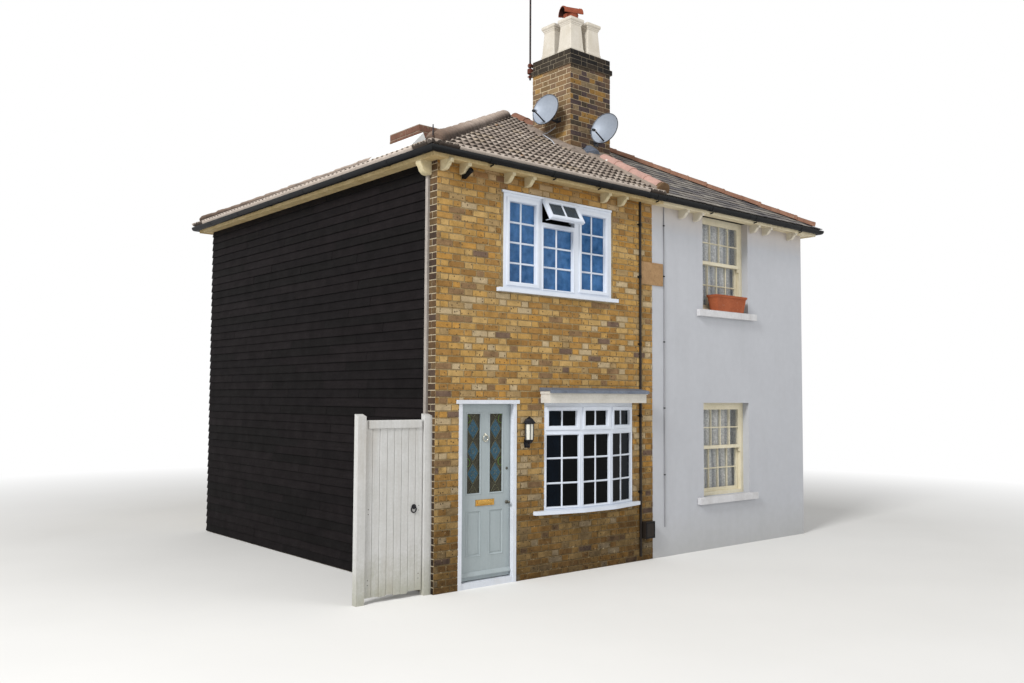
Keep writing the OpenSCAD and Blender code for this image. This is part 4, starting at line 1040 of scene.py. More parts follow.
OLD_BRASS = Finish("dark_brass", "#77756c", "#45433c", 14.0, 1.8, (0.3, 0.5), metal=0.9, relief=0.0006)
CORNER_PAINT = Finish("corner_paint", "#b3aca4", "#857d76", 5.0, 2.0, (0.5, 0.75), relief=0.001,
                      grain=(55.0, 55.0, 3.0), stain=("#5f5650", 0.6))
# Painted light in the tint: a sky-blue reflection on the upper panes, a pale grey-blue one on the rendered house's
# panes, and painted darkness, olive-grey to near black, on the bow window and the lower panes of the brick house.
GLASS_PAINTED_REFLECTIONS = Glass("window_glass", "#74aeea", "#2c5f94", 1.4, 2.6, (0.02, 0.06), relief=0.0006, clear=0.55, shine=0.2,
              ior=1.15, sheer=(0.2, 0.3, 0.18),
              zones=(Zone(1, -3.068, -3.085, "#5f5f55", 0.85), Zone(2, 2.6, 2.5, "#0c0d0d", 0.97),
                     Zone(0, 0.2, 0.3, "#c3cad0", 0.85)))
LEADED = Glass("leaded_glass", "#4d4a3a", "#211f19", 26.0, 2.6, (0.05, 0.12), relief=0.0012, clear=0.1)
# Y of the middle of the curtains' folds; the net is darker in the half of each fold behind it, as painted shade in
# the folds.
FOLD_MIDDLE = -2.788
NET = Net("net_curtain", "#fbfaf7", "#efede8", 6.0, 1.3, (0.8, 0.95),
          zones=(Zone(1, FOLD_MIDDLE, FOLD_MIDDLE + 0.014, "#868b92", 0.8),))

# ---------------------------------------------------------------- brickwork

Rect = tuple[float, float, float, float]


@dataclass(frozen=True)
class Bond:
    """Flemish bond: a stretcher and a header in turn, each course set over by half a repeat.

    Attributes:
        stretcher: Length of a long face.
        header: Length of a short face.
        height: Height of a brick.
        joint: Width of the joints.
        proud: How far a brick stands out of the mortar.
        worn: Width of its worn edges.
        least: Smallest part of a cut brick that is laid.
    """

    stretcher: float = 0.215
    header: float = 0.1025
    height: float = 0.0655
    joint: float = 0.0107
    proud: float = 0.0055
    worn: float = 0.0050
    least: float = 0.012

    @property
    def gauge(self) -> float:
        """Height of a course with its joint."""
        return self.height + self.joint

    def brick(self) -> Shape:
        """A stretcher about its own middle, with worn edges."""
        def ring(inset: float, out: float) -> list[Vector]:
            """One ring round the face."""
            x, z = self.stretcher / 2 - inset, self.height / 2 - inset
            return [Vector((a, -out, b)) for a, b in ((-x, -z), (x, -z), (x, z), (-x, z))]
        shape = Shape().skin([ring(0, -0.004), ring(0, self.proud - self.worn / 2), ring(self.worn, self.proud)])
        # Painted shade: the sides and the worn edges take the shade colour, outlining each brick; its face takes
        # none.
        return shape.with_shade_and_dirt(lambda p: 0.0 if -p.y > self.proud - 1e-5 else 1.0)

    def clip(self, rect: Rect, hole: Rect) -> list[Rect]:
        """What a hole leaves of a rectangle; both are (x0, x1, z0, z1).

        Args:
            rect: The rectangle.
            hole: The hole.

        Returns:
            The parts of it that are large enough to lay.
        """
        x0, x1, z0, z1 = rect
        a0, a1, b0, b1 = hole
        if a0 >= x1 or a1 <= x0 or b0 >= z1 or b1 <= z0:
            return [rect]
        left = [(x0, a0, z0, z1), (a1, x1, z0, z1), (max(x0, a0), min(x1, a1), z0, b0),
                (max(x0, a0), min(x1, a1), b1, z1)]
        return [r for r in left if r[1] - r[0] > self.least and r[3] - r[2] > self.least]

    def wall(self, place: Place, width: float, foot: float, head: float, holes: Sequence[Rect] = (),
             first: int = 0) -> list[Unit]:
        """Bricks over a wall face.

        Args:
            place: The face's lower left corner, seen from outside.
            width: Width of the face.
            foot: Height at which the bricks start.
            head: Height at which they stop.
            holes: Rectangles that stay free.
            first: Number of the first course, so that faces that meet at a corner can differ.

        Returns:
            The bricks.
        """
        units: list[Unit] = []
        repeat = self.stretcher + self.header + 2 * self.joint
        turn, row, z = place.turn(), 0, foot
        while z < head - self.least:
            x = -repeat - (repeat / 2 if (row + first) % 2 else 0.0)
            while x < width:
                for length in (self.stretcher, self.header):
                    left = [(max(x, 0.0), min(x + length, width), z, min(z + self.height, head))]
                    left = [r for r in left if r[1] - r[0] > self.least]
                    for hole in holes:
                        left = [part for r in left for part in self.clip(r, hole)]
                    for x0, x1, z0, z1 in left:
                        units.append(Unit(place.at((x0 + x1) / 2, 0, (z0 + z1) / 2), turn,
                                          ((x1 - x0) / self.stretcher, 1.0, (z1 - z0) / self.height)))
                    x += length + self.joint
            row, z = row + 1, z + self.gauge
        return units


@dataclass(frozen=True)
class Brickwork:
    """The bricks of the brick house, of the stack and of the stub.

    Attributes:
        bond: How the bricks lie.
        neat: Largest tilt and shift of the bricks in the walls.
        uneven: The same in the stack and the stub.
        party_gap: Free strip next to the party line.
        margin: Free strip above the ground and under the eaves.
        stack_x: Sides of the stack, with stack_y.
        stack_foot: Where its bricks start, under the roof.
        stack_courses: Number of its courses below the band.
        stack_top: Its head.
        band: Foot and head of the band near its head, which stands out by band_out.
        stub_x: Sides of the stub, with stub_y.
        stub_top: Its head.
        stub_courses: Number of its courses, down to under the roof.
    """

    bond: Bond = Bond()
    neat: tuple[float, float] = (0.007, 0.0014)
    uneven: tuple[float, float] = (0.008, 0.002)
    party_gap: float = 0.027
    margin: float = 0.004
    stack_x: tuple[float, float] = (-0.398, 0.422)
    stack_y: tuple[float, float] = (-1.85, -1.04)
    stack_foot: float = 5.62
    stack_courses: int = 17
    stack_top: float = 7.19
    band: tuple[float, float] = (6.965, 7.04)
    band_out: float = 0.025
    stub_x: tuple[float, float] = (-3.412, -3.122)
    stub_y: tuple[float, float] = (-2.40, -1.78)
    stub_top: float = 5.345
    stub_courses: int = 4

    def build(self, laying: Laying) -> None:
        """Lays every face.

        Args:
            laying: What lays the units.
        """
        self.front_wall(laying)
        self.return_wall(laying)
        self.rear_wall(laying)
        self.stack(laying)
        self.stub(laying)

    def face(self, laying: Laying, name: str, units: Sequence[Unit], finish: Finish, seed: int, slot: str,
             under: "Slope | None" = None) -> None:
        """Lays bricks as one piece, cut off by the slope of the roof that they stand in.

        Args:
            laying: What lays the units.
            name: Its name.
            units: The bricks.
            finish: Its finish.
            seed: Seed of the chances.
            slot: The record's material slot.
            under: The slope, where there is one.
        """
        spread = self.neat if slot == "stock_brick" else self.uneven
        laid = laying.lay(name, units, self.bond.brick(), finish, seed, *spread)
        if under:
            trimmed(laid, [(under.place.at(0, -0.02, 0), -under.place.out)])
        settle(laid, [finish], slot)

    def wall(self, place: Place, width: float, holes: Sequence[Rect] = (), first: int = 0) -> list[Unit]:
        """Bricks of a wall from the ground to the eaves."""
        return self.bond.wall(place, width, self.margin, EAVES_Z - self.margin, holes, first)

    def front_wall(self, laying: Laying) -> None:
        """The street front, free of the door, the bow window and the window above.

        Args:
            laying: What lays the units.
        """
        holes = [(0.327, 1.171, -1.0, 2.103), (1.614, 3.185, 0.74, 2.178), (0.92, 2.815, 3.37, 4.57),
                 (0.857, 2.865, 3.365, 3.41)]
        units = self.wall(Place.facing(-SIDE_X, FRONT_Y, 0, ALONG_STREET), SIDE_X - self.party_gap, holes)
        self.face(laying, "front_bricks", units, FRONT_BRICK, 11, "stock_brick")

    def return_wall(self, laying: Laying) -> None:
        """The narrow brick edge at the left corner, next to the boards."""
        units = self.wall(Place.facing(-SIDE_X, -2.92, 0, ALONG_LEFT), 0.128, first=1)
        self.face(laying, "return_bricks", units, RETURN_BRICK_SHADE_AND_GRIME, 12, "stock_brick")

    def rear_wall(self, laying: Laying) -> None:
        """The garden side, free of its two windows and its door.

        Args:
            laying: What lays the units.
        """
        holes = [(0.73, 1.82, z0, z1) for z0, z1 in ((3.40, 4.77), (0.74, 2.07))]
        holes += [(0.59, 1.96, z - 0.095, z) for z in (3.40, 0.74)] + [(2.10, 2.965, -1.0, 2.08)]
        place = Place.facing(-self.party_gap, -FRONT_Y, 0, ALONG_GARDEN)
        self.face(laying, "rear_bricks", self.wall(place, SIDE_X - self.party_gap, holes), FRONT_BRICK, 13,
                  "stock_brick")

    def round_box(self, x: tuple[float, float], y: tuple[float, float], foot: float, head: float, out: float = 0.0
                  ) -> list[Unit]:
        """Bricks over the four sides of an upright box.

        Args:
            x: Left and right side.
            y: Street and garden side.
            foot: Where they start.
            head: Where they stop.
            out: How far the sides are moved outwards.

        Returns:
            The bricks.
        """
        x0, x1, y0, y1 = x[0] - out, x[1] + out, y[0] - out, y[1] + out
        sides = [((x0, y0), ALONG_STREET, x1 - x0), ((x1, y0), ALONG_RIGHT, y1 - y0),
                 ((x1, y1), ALONG_GARDEN, x1 - x0), ((x0, y1), ALONG_LEFT, y1 - y0)]
        units: list[Unit] = []
        for number, ((px, py), right, width) in enumerate(sides):
            units += self.bond.wall(Place.facing(px, py, 0, right), width, foot, head, first=number)
        return units

    def stack(self, laying: Laying) -> None:
        """The stack, with a sooted head and band.

        Args:
            laying: What lays the units.
        """
        x, y, foot = self.stack_x, self.stack_y, self.stack_foot
        units = self.round_box(x, y, foot, foot + self.stack_courses * self.bond.gauge + self.bond.height)
        self.face(laying, "stack_bricks", units, STACK_BRICK, 14, "chimney_brick", Roof().front)
        units = self.round_box(x, y, self.band[1] + 0.004, self.stack_top - 0.002)
        units += self.round_box(x, y, self.band[0] + 0.004, self.band[1] - 0.002, self.band_out)
        self.face(laying, "stack_head_bricks", units, SOOTED_BRICK, 15, "chimney_brick")

    def stub(self, laying: Laying) -> None:
        """The low remains of another stack near the left eaves.

        Args:
            laying: What lays the units.
        """
        foot = self.stub_top - self.stub_courses * self.bond.gauge
        units = self.round_box(self.stub_x, self.stub_y, foot, self.stub_top - 0.008)
        self.face(laying, "stub_bricks", units, STUB_BRICK, 16, "red_brick", Roof().left)


# ---------------------------------------------------------------- roof


@dataclass(frozen=True)
class Pots:
    """The square pots with their stepped heads, and the half-round cowl on one of them."""

    half: float = 0.1425
    foot: float = 7.19
    high: float = 0.50
    bore: float = 0.095
    pitch: float = 0.351
    first: tuple[float, float] = (-0.2305, -1.6825)
    turn: float = -19.0

    def square(self, middle: tuple[float, float], half: float, curve: float, z: float) -> list[Vector]:
        """A square ring with rounded corners, which is a circle where half and curve are equal.

        Args:
            middle: Its middle in plan.
            half: Half its width.
            curve: Radius of its corners.
            z: Its height.

        Returns:
            Its points.
        """
        ring = []
        for k in range(24):
            a, c = math.radians(7.5 + 15 * k), k // 6
            sx, sy = (1, -1, -1, 1)[c], (1, 1, -1, -1)[c]
            ring.append(Vector((middle[0] + sx * (half - curve) + curve * math.cos(a),
                                middle[1] + sy * (half - curve) + curve * math.sin(a), z)))
        return ring

    def build(self) -> None:
        """Builds the pots and the cowl."""
        shape = Shape()
        profile = ((0.0, self.half), (0.040, self.half), (0.048, 0.137), (0.062, 0.134), (0.40, 0.111),
                   (0.408, 0.117), (0.422, 0.118), (0.428, 0.125), (0.442, 0.127), (0.450, 0.134),
                   (0.462, self.half), (0.492, self.half), (self.high, 0.138))
        middles = [(self.first[0] + i * self.pitch, self.first[1] + j * self.pitch) for i in (0, 1) for j in (0, 1)]
        for middle in middles:
            rings = [self.square(middle, w, 0.014, self.foot + z) for z, w in profile]
            rings += [self.square(middle, self.bore, self.bore, self.foot + z) for z in (0.498, 0.49, 0.14)]
            shape.skin(rings)
        # Painted shade inside the bores, and a quarter share of the dark colour round the pots' feet.
        shape.with_shade_and_dirt(lambda p: 1.0 if min(math.hypot(p.x - x, p.y - y) for x, y in middles) < self.bore + 0.001
                    else 0.25 if p.z < self.foot + 0.03 else 0.0)
        shape.piece("moulded_pots", [CREAM_CLAY], "cream_clay", replaces=["chimney_pots"], bevel=0.0015)
        self.cowl()

    def cowl(self) -> None:
        """The short neck with its openings, and the half-round tile across it."""
        shape, t = Shape(), math.radians(self.turn)
        along = Vector((math.cos(t), math.sin(t), 0))
        middle = Vector((self.first[0], self.first[1], self.foot + self.high))
        neck = Place(middle, along, Vector((-along.y, along.x, 0)))
        profile = ((0.096, 0.0), (0.114, 0.0), (0.116, 0.004), (0.116, 0.016), (0.109, 0.022), (0.106, 0.060),
                   (0.112, 0.066), (0.112, 0.076), (0.096, 0.076))
        shape.skin([[neck.at(r * math.cos(a), r * math.sin(a), z) for r, z in profile] for a in around(32)],
                   0, loop=True)
        rings = []
        for k in range(21):
            x = -0.15 + 0.30 * k / 20
            outer = 0.116 if 2 < k < 18 else 0.122
            outer += 0.0012 * noise.noise(Vector((x * 20, 0, 4)))
            arc = half_circle(outer, 16) + half_circle(0.102, 16)[::-1]
            rings.append([neck.at(x, o, 0.072 + z) for o, z in arc])
        shape.skin(rings)
        # Painted shade on the inside of the half-round tile.
        shape.with_shade_and_dirt(lambda p: 1.0 if p.z > middle.z + 0.08 and math.hypot(
            (p - middle).dot(neck.out), p.z - middle.z - 0.072) < 0.104 else 0.0)
        shape.piece("cowl", [ORANGE_CLAY], "orange_clay", replaces=["chimney_cowl"], bevel=0.002, smooth=True)


@dataclass(frozen=True)
class Slope:
    """One triangular slope of the roof, seen from outside, with its toe on local z 0."""

    toe: Vector
    right: Vector
    left_reach: float
    right_reach: float
    apex: Vector = Vector((0, 0, 6.70))

    @property
    def place(self) -> Place:
        """Directions on the slope, from the middle of its toe."""
        up = (self.apex - self.toe).normalized()
        return Place(self.toe, self.right, self.right.cross(up), up)

    @property
    def length(self) -> float:
        """Length from the toe to the apex."""
        return (self.apex - self.toe).length

    def edges(self) -> list[tuple[Vector, Vector]]:
        """Upright planes through its two side edges, with normals away from the slope."""
        planes = []
        for reach, sign in ((self.left_reach, -1), (self.right_reach, 1)):
            line = self.toe + self.right * (reach * sign) - self.apex
            line.z = 0
            normal = line.cross(UP).normalized()
            planes.append((self.apex, normal if normal.dot(self.right) * sign > 0 else -normal))
        return planes

    def units(self, width: float, gauge: float, drop: float, lift: float, shift: float = 0.0,
              gaps: Sequence[Rect] = ()) -> list[Unit]:
        """Rows of tiles or slates over the slope.

        Args:
            width: Width of each.
            gauge: Rise of each row along the slope.
            drop: How far the first row hangs over the toe.
            lift: Height above the slope.
            shift: How far every second row is set over.
            gaps: Plan rectangles (x0, x1, y0, y1) that stay free.

        Returns:
            The units.
        """
        place, units, row = self.place, [], 0
        turn = place.turn()
        while row * gauge - drop < self.length - 0.02:
            s = row * gauge - drop
            share = 1 - max(s, 0.0) / self.length
            x = -math.ceil(self.left_reach / width) * width - width + (shift if row % 2 else 0.0)
            while x < self.right_reach * share:
                mid = place.at(x + width / 2, 0, s + gauge / 2)
                free = all(not (a < mid.x < b and c < mid.y < d) for a, b, c, d in gaps)
                if x + width > -self.left_reach * share and free:
                    units.append(Unit(place.at(x, lift, s), turn))
                x += width
            row += 1
        return units


@dataclass(frozen=True)
class Roof:
    """Concrete tiles on the left half, slates on the right, with the hips and ridges between them.

    Side and deep reach from the middle to the toes, fall is the drop of the street and garden slopes for each
    metre, the names in _r are radii, and hip_start and hip_stop are the bare ends of the hips at foot and apex.
    """

    side: float = 3.822
    deep: float = 3.26
    toe_z: float = 4.865
    apex_z: float = 6.70
    tile_w: float = 0.206
    tile_gauge: float = 0.197
    roll: float = 0.030
    slate_w: float = 0.22
    slate_gauge: float = 0.17
    hip_r: float = 0.122
    clay_r: float = 0.096
    ridge_r: float = 0.118
    ridge_lift: float = 0.030
    apex_r: float = 0.105
    hip_start: float = 0.10
    hip_stop: float = 0.33
    clay_show: float = 0.31
    overhang: float = 0.03
    fall: float = 0.5629
    corner_gap: float = 0.34

    @property
    def apex(self) -> Vector:
        """Where the four slopes meet."""
        return Vector((0, 0, self.apex_z))

    def party_line(self, sy: int) -> Place:
        """Directions up the middle of the street slope (-1) or of the garden slope (1)."""
        return Place.along(Vector((0, sy * self.deep, self.toe_z)), self.apex)

    def slope(self, toe: tuple[float, float], right: tuple[float, float], left: float, reach: float) -> Slope:
        """One slope, or its half on one side of the party line."""
        return Slope(Vector((*toe, self.toe_z)), Vector((*right, 0)), left, reach)

    @property
    def front(self) -> Slope:
        """The left half of the street side."""
        return self.slope((0, -self.deep), ALONG_STREET, self.side, 0.0)

    @property
    def left(self) -> Slope:
        """The left flank."""
        return self.slope((-self.side, 0), ALONG_LEFT, self.deep, self.deep)

    @property
    def rear(self) -> Slope:
        """The tiled half of the garden side."""
        return self.slope((0, self.deep), ALONG_GARDEN, 0.0, self.side)

    def build(self, laying: Laying) -> None:
        """Lays the whole roof.

        Args:
            laying: What lays the units.
        """
        stack = (-0.43, 0.45, -1.90, -1.0)
        apron = (-3.62, -3.08, -2.52, -1.74)
        slated = [self.slope((0, -self.deep), ALONG_STREET, 0.0, self.side),
                  self.slope((self.side, 0), ALONG_RIGHT, self.deep, self.deep),
                  self.slope((0, self.deep), ALONG_GARDEN, self.side, 0.0)]
        parts = []
        for n, s in enumerate((self.front, self.left, self.rear)):
            units = s.units(self.tile_w, self.tile_gauge, self.overhang, 0.004, gaps=(stack, apron))
            laid = laying.lay(f"tiles_{n}", units, self.pantile(), PANTILE, 21 + n, 0.008, 0.002)
            parts.append(trimmed(laid, s.edges()))
        settle(joined("roof_tiles", parts), [PANTILE], "concrete_tile", smooth=True)
        parts = []
        for n, s in enumerate(slated):
            units = s.units(self.slate_w, self.slate_gauge, self.overhang, 0.002, self.slate_w / 2, (stack,))
            laid = laying.lay(f"slates_{n}", units, self.slate(), SLATE, 31 + n, 0.006, 0.001)
            parts.append(trimmed(laid, s.edges()))
        settle(joined("roof_slates", parts), [SLATE], "slate")
        dress(PANTILE, "tiled_roof")
        dress(SLATE, "slate_roof")
        self.mossy_hips()
        self.clay_hips(laying)
        self.party_ridge(laying)
        self.bedding()
        self.fillets()

    def pantile(self) -> Shape:
        """One tile with two rolls; painted shade darkens the openings of the rolls at its foot, its troughs and its
        lapped head.
        """
        count, thick, length = 12, 0.013, self.tile_gauge + 0.03
        rings, shade_and_dirt = [], []
        for i in range(count + 1):
            x = 0.001 + (self.tile_w - 0.002) * i / count
            crest = (0.5 - 0.5 * math.cos(4 * math.pi * i / count)) ** 0.75
            foot, head = self.roll * crest + 0.012 + thick, self.roll * crest * 0.42 + 0.004
            mid = foot * 0.3 + head * 0.7
            rings.append([Vector((x, y, z)) for y, z in (
                (-0.004, 0), (-foot + 0.009, 0), (-foot, 0.004), (-mid, length * 0.7), (-head, length * 0.86),
                (-head, length))])
            # Painted shade: full at the foot and the head, more in the troughs than on the crests.
            trough = 0.75 * (1 - crest) ** 2
            shade_and_dirt += [1.0, 1.0, trough * 0.5, trough, 0.35 + trough, 1.0]
        shape = Shape().skin(rings)
        shape.shade_and_dirt = shade_and_dirt
        return shape

    def slate(self) -> Shape:
        """One slate, tilted by the one below it."""
        w, length = self.slate_w - 0.006, self.slate_gauge + 0.06
        shape = Shape().skin([[Vector((x, -a, 0)), Vector((x, -a - 0.009, 0)), Vector((x, -0.006, length)),
                               Vector((x, -0.001, length))] for x, a in ((0.0, 0.010), (w / 2, 0.012), (w, 0.010))])
        # Painted shade under the foot of each slate, and less at its head under the next row.
        return shape.with_shade_and_dirt(lambda p: (0.3 if p.z > 0.01 else 1.0) if -p.y < 0.0125 else 0.0)

    def half_round(self, radius: float, length: float, thick: float = 0.016, sides: int = 10) -> Shape:
        """A half-round tile along up, wider at its foot.

        Args:
            radius: Radius at the foot.
            length: Its length.
            thick: Its thickness.
            sides: Sides of the arc.

        Returns:
            The tile.
        """
        rings = []
        for z, r in ((0.0, radius), (0.03, radius), (0.034, radius - 0.004), (length, radius - 0.012)):
            arc = half_circle(r, sides)
            back = [(a * (1 - thick / radius), b * (1 - thick / radius)) for a, b in reversed(arc)]
            rings.append([Vector((a, -b, z)) for a, b in arc + back])
        return Shape().skin(rings)

    def corner(self, sx: int, sy: int) -> Vector:
        """Foot of one hip."""
        return Vector((sx * self.side, sy * self.deep, self.toe_z))

    def mossy_hips(self) -> None:
        """The two fat left hips, lumpy with moss, each ending in a rounded knob."""
        shape, shade_and_dirt = Shape(), []
        for sy in (-1, 1):
            place = Place.along(self.corner(-1, sy), self.apex)
            length, rings, step = (self.apex - self.corner(-1, sy)).length - self.hip_stop, [], 0.022
            for i in range(int((length - self.hip_start) / step)):
                z = self.hip_start + i * step
                tile = 0.009 * (1 - (z % 0.40) / 0.40)
                blunt = min(1.0, 0.80 + (z - self.hip_start) * 5, 0.62 + (length - 0.02 - z) * 4)
                ring = []
                for k in range(13):
                    a = math.radians(-14 + 208 * k / 12)
                    lump = noise.noise(Vector((z * 9, math.cos(a) * 1.6, math.sin(a) * 1.6 + sy * 5)))
                    fine = noise.noise(Vector((z * 34, math.cos(a) * 4, math.sin(a) * 4)))
                    fat = 0.016 * max(0.0, 1 - z / 0.7)
                    r = (self.hip_r - 0.018 + tile + 0.008 * lump + 0.005 * fine + fat) * blunt
                    ring.append(place.at(r * math.cos(a), r * math.sin(a), z))
                    # Painted shade down the lower sides of the roll; its last 5 cm before the upper end are darker
                    # too.
                    side = max(0.0, (0.82 - math.sin(a)) * 2.0)
                    shade_and_dirt.append(min(1.0, side + (0.8 if z > length - 0.05 else 0.0)))
                rings.append(ring)
            shape.skin(rings)
        shape.shade_and_dirt = shade_and_dirt
        shape.piece("mossy_hips", [MOSS_ROLL], "mossy_concrete", replaces=["concrete_hip_tiles"], smooth=True)

    def run(self, start: Vector, end: Vector) -> list[Unit]:
        """Half-round tiles along a sloping line.

        Args:
            start: Where it starts.
            end: Where it ends.

        Returns:
            The tiles.
        """
        place = Place.along(start, end)
        count = int((end - start).length / self.clay_show)
        return [Unit(place.at(0, 0, i * self.clay_show), place.turn()) for i in range(count)]

    def clay_hips(self, laying: Laying) -> None:
        """The two right hips of half-round clay tiles.

        Args:
            laying: What lays the units.
        """
        units: list[Unit] = []
        for sy in (-1, 1):
            line = (self.apex - self.corner(1, sy)).normalized()
            units += self.run(self.corner(1, sy) + line * self.hip_start, self.apex - line * self.hip_stop)
        laid = laying.lay("clay_hips", units, self.half_round(self.clay_r - 0.006, 0.35), CLAY_HIP, 41, 0.012, 0.004)
        settle(laid, [CLAY_HIP], "clay_tile", replaces=["clay_hip_tiles"], smooth=True)

    def party_ridge(self, laying: Laying) -> None:
        """Half-round tiles down the party line on both sides and, smaller, between the stack and the apex.

        Args:
            laying: What lays the units.
        """
        parts = []
        for n, (sy, a, b, radius, lift) in enumerate(((-1, 0.07, 1.60, self.ridge_r, self.ridge_lift),
                                                      (1, 0.07, 3.72, self.ridge_r, self.ridge_lift),
                                                      (-1, 2.62, 3.70, self.apex_r, 0.004))):
            place = self.party_line(sy)
            units = self.run(place.at(0, lift, a), place.at(0, lift, b))
            finish = LICHEN_RIDGE if n == 2 else RIDGE
            tile = self.half_round(radius, 0.335)
            parts.append(laying.lay(f"ridge_{n}", units, tile, finish, 42 + n, 0.006, 0.002))
        count = [len(part.data.polygons) for part in parts]
        laid = joined("party_ridge", parts)
        for face in laid.data.polygons:
            face.material_index = 1 if face.index >= count[0] + count[1] else 0
        settle(laid, [RIDGE, LICHEN_RIDGE], "pink_ridge", replaces=["party_ridge_tiles"], smooth=True)

    def bedding(self) -> None:
        """Mortar under the party ridge, its stopped foot, and the filled eaves course of the tiled half, with dark
        pieces of painted shade and grime by the hips' feet.
        """
        shape = Shape()
        for sy, reach in ((-1, 1.66), (1, 3.6)):
            place, rings = self.party_line(sy), []
            for k in range(25):
                z = 0.075 + (reach - 0.075) * k / 24
                wide = 0.134 + 0.010 * noise.noise(Vector((z * 9, sy, 0)))
                rings.append([place.at(x, o, z) for x, o in ((-wide, 0.0), (-wide, 0.045), (-0.108, 0.075),
                                                            (0.108, 0.075), (wide, 0.045), (wide, 0.0))])
            shape.skin(rings)
            arc = [(x, self.ridge_lift + o) for x, o in half_circle(self.ridge_r + 0.001, 14)]
            outline = [(-0.128, 0.0)] + arc[::-1] + [(0.128, 0.0)]
            shape.skin([[place.at(x, o, z) for x, o in outline] for z in (0.052, 0.11)], 2)
        for slope in (self.front, self.left, self.rear):
            place, rings = slope.place, []
            a, b = -slope.left_reach + self.corner_gap, slope.right_reach - self.corner_gap
            steps = int((b - a) / 0.05)
            # Dark pieces next to each hip's foot: painted shade of the hip, with grime.
            for middle in ((a - 0.28, a - 0.15, a - 0.02), (b + 0.02, b + 0.15, b + 0.28)):
                shape.skin([[place.at(x, -0.01, -0.040), place.at(x, 0.026, -0.042), place.at(x, 0.050, -0.012),
                             place.at(x, 0.0, 0.006)] for x in middle], 3)
            for k in range(steps + 1):
                x = a + (b - a) * k / steps
                sag = 0.004 * noise.noise(Vector((x * 7, 2.0, 0)))
                rings.append([place.at(x, -0.01, -0.040), place.at(x, 0.030 + sag, -0.042),
                              place.at(x, 0.054 + sag, -0.012), place.at(x, 0.0, 0.006)])
            shape.skin(rings, 1)
        shape.piece("ridge_bedding", [FILLET, EAVES_FILL, RIDGE_STOP, CORNER_SHADE_AND_DIRT], "mortar")

    def fillets(self) -> None:
        """Mortar round the stack and the painted apron round the stub, over the crests of the tiles."""
        works, shape = Brickwork(), Shape()
        (x0, x1), (y0, y1) = works.stack_x, works.stack_y
        for x, y, right, width in ((x0, y1, ALONG_LEFT, 0.81), (x0, y0, ALONG_STREET, 0.82),
                                   (x1, y0, ALONG_RIGHT, 0.81), (x1, y1, ALONG_GARDEN, 0.82)):
            place, rings = Place.facing(x, y, 0, right), []
            for k in range(13):
                t = -0.07 + (width + 0.14) * k / 12
                wave = 0.012 * math.sin(k * 2.3)
                feet = [(place.at(t, o, 0), h) for o, h in (
                    (-0.02, -0.12), (0.095 + wave, -0.12), (0.095 + wave, 0.052), (0.05, 0.085), (-0.02, 0.115))]
                rings.append([p + UP * (self.apex_z - abs(p.y) * self.fall + h) for p, h in feet])
            shape.skin(rings)
        place = self.left.place
        for x0, x1, s0, s1, h0, h1 in ((1.70, 2.60, 0.16, 0.44, 0.045, 0.15), (1.70, 1.80, 0.44, 0.78, 0.06, 0.10),
                                       (2.40, 2.60, 0.44, 0.78, 0.06, 0.10), (1.70, 2.60, 0.76, 0.88, 0.10, 0.05)):
            shape.skin([[place.at(x, -0.02, s0), place.at(x, h0, s0), place.at(x, h1, s1), place.at(x, -0.02, s1)]
                        for x in (x0, (x0 + x1) / 2, x1)], 1)
        shape.piece("fillets_and_apron", [FILLET, APRON_PAINT], "mortar", replaces=["mortar_flaunching"],
                    bevel=0.006)


def pale_floor() -> bpy.types.Material:
    """A pale floor that turns into the white background far from the houses."""
    material = bpy.data.materials.new("pale_floor")
    material.use_nodes = True
    material.node_tree.nodes.clear()
    wire = Wiring(material.node_tree)
    vector = wire.add("ShaderNodeTexCoord").outputs["Object"]
    flat = wire.add("ShaderNodeVectorMath", {0: vector, 1: (1, 1, 0)}, operation="MULTIPLY").outputs[0]
    far = wire.add("ShaderNodeVectorMath", {0: flat}, operation="LENGTH").outputs["Value"]
    fade = wire.span(far, 7.0, 16.0)
    near = wire.mix(wire.noise(vector, 0.4, 3.0), colour("#e9e8e5"), colour("#dfdedb"))
    shader = wire.add("ShaderNodeBsdfPrincipled", {
        "Base Color": wire.mix(fade, near, (0, 0, 0, 1)), "Roughness": 0.9, "Specular IOR Level": 0.0,
        "Emission Color": wire.mix(fade, (0, 0, 0, 1), (1, 1, 1, 1)), "Emission Strength": 1.0})
    wire.add("ShaderNodeOutputMaterial", {"Surface": shader.outputs[0]})
    return material


# ---------------------------------------------------------------- windows

STREET = Place.facing(0, FRONT_Y, 0, ALONG_STREET)


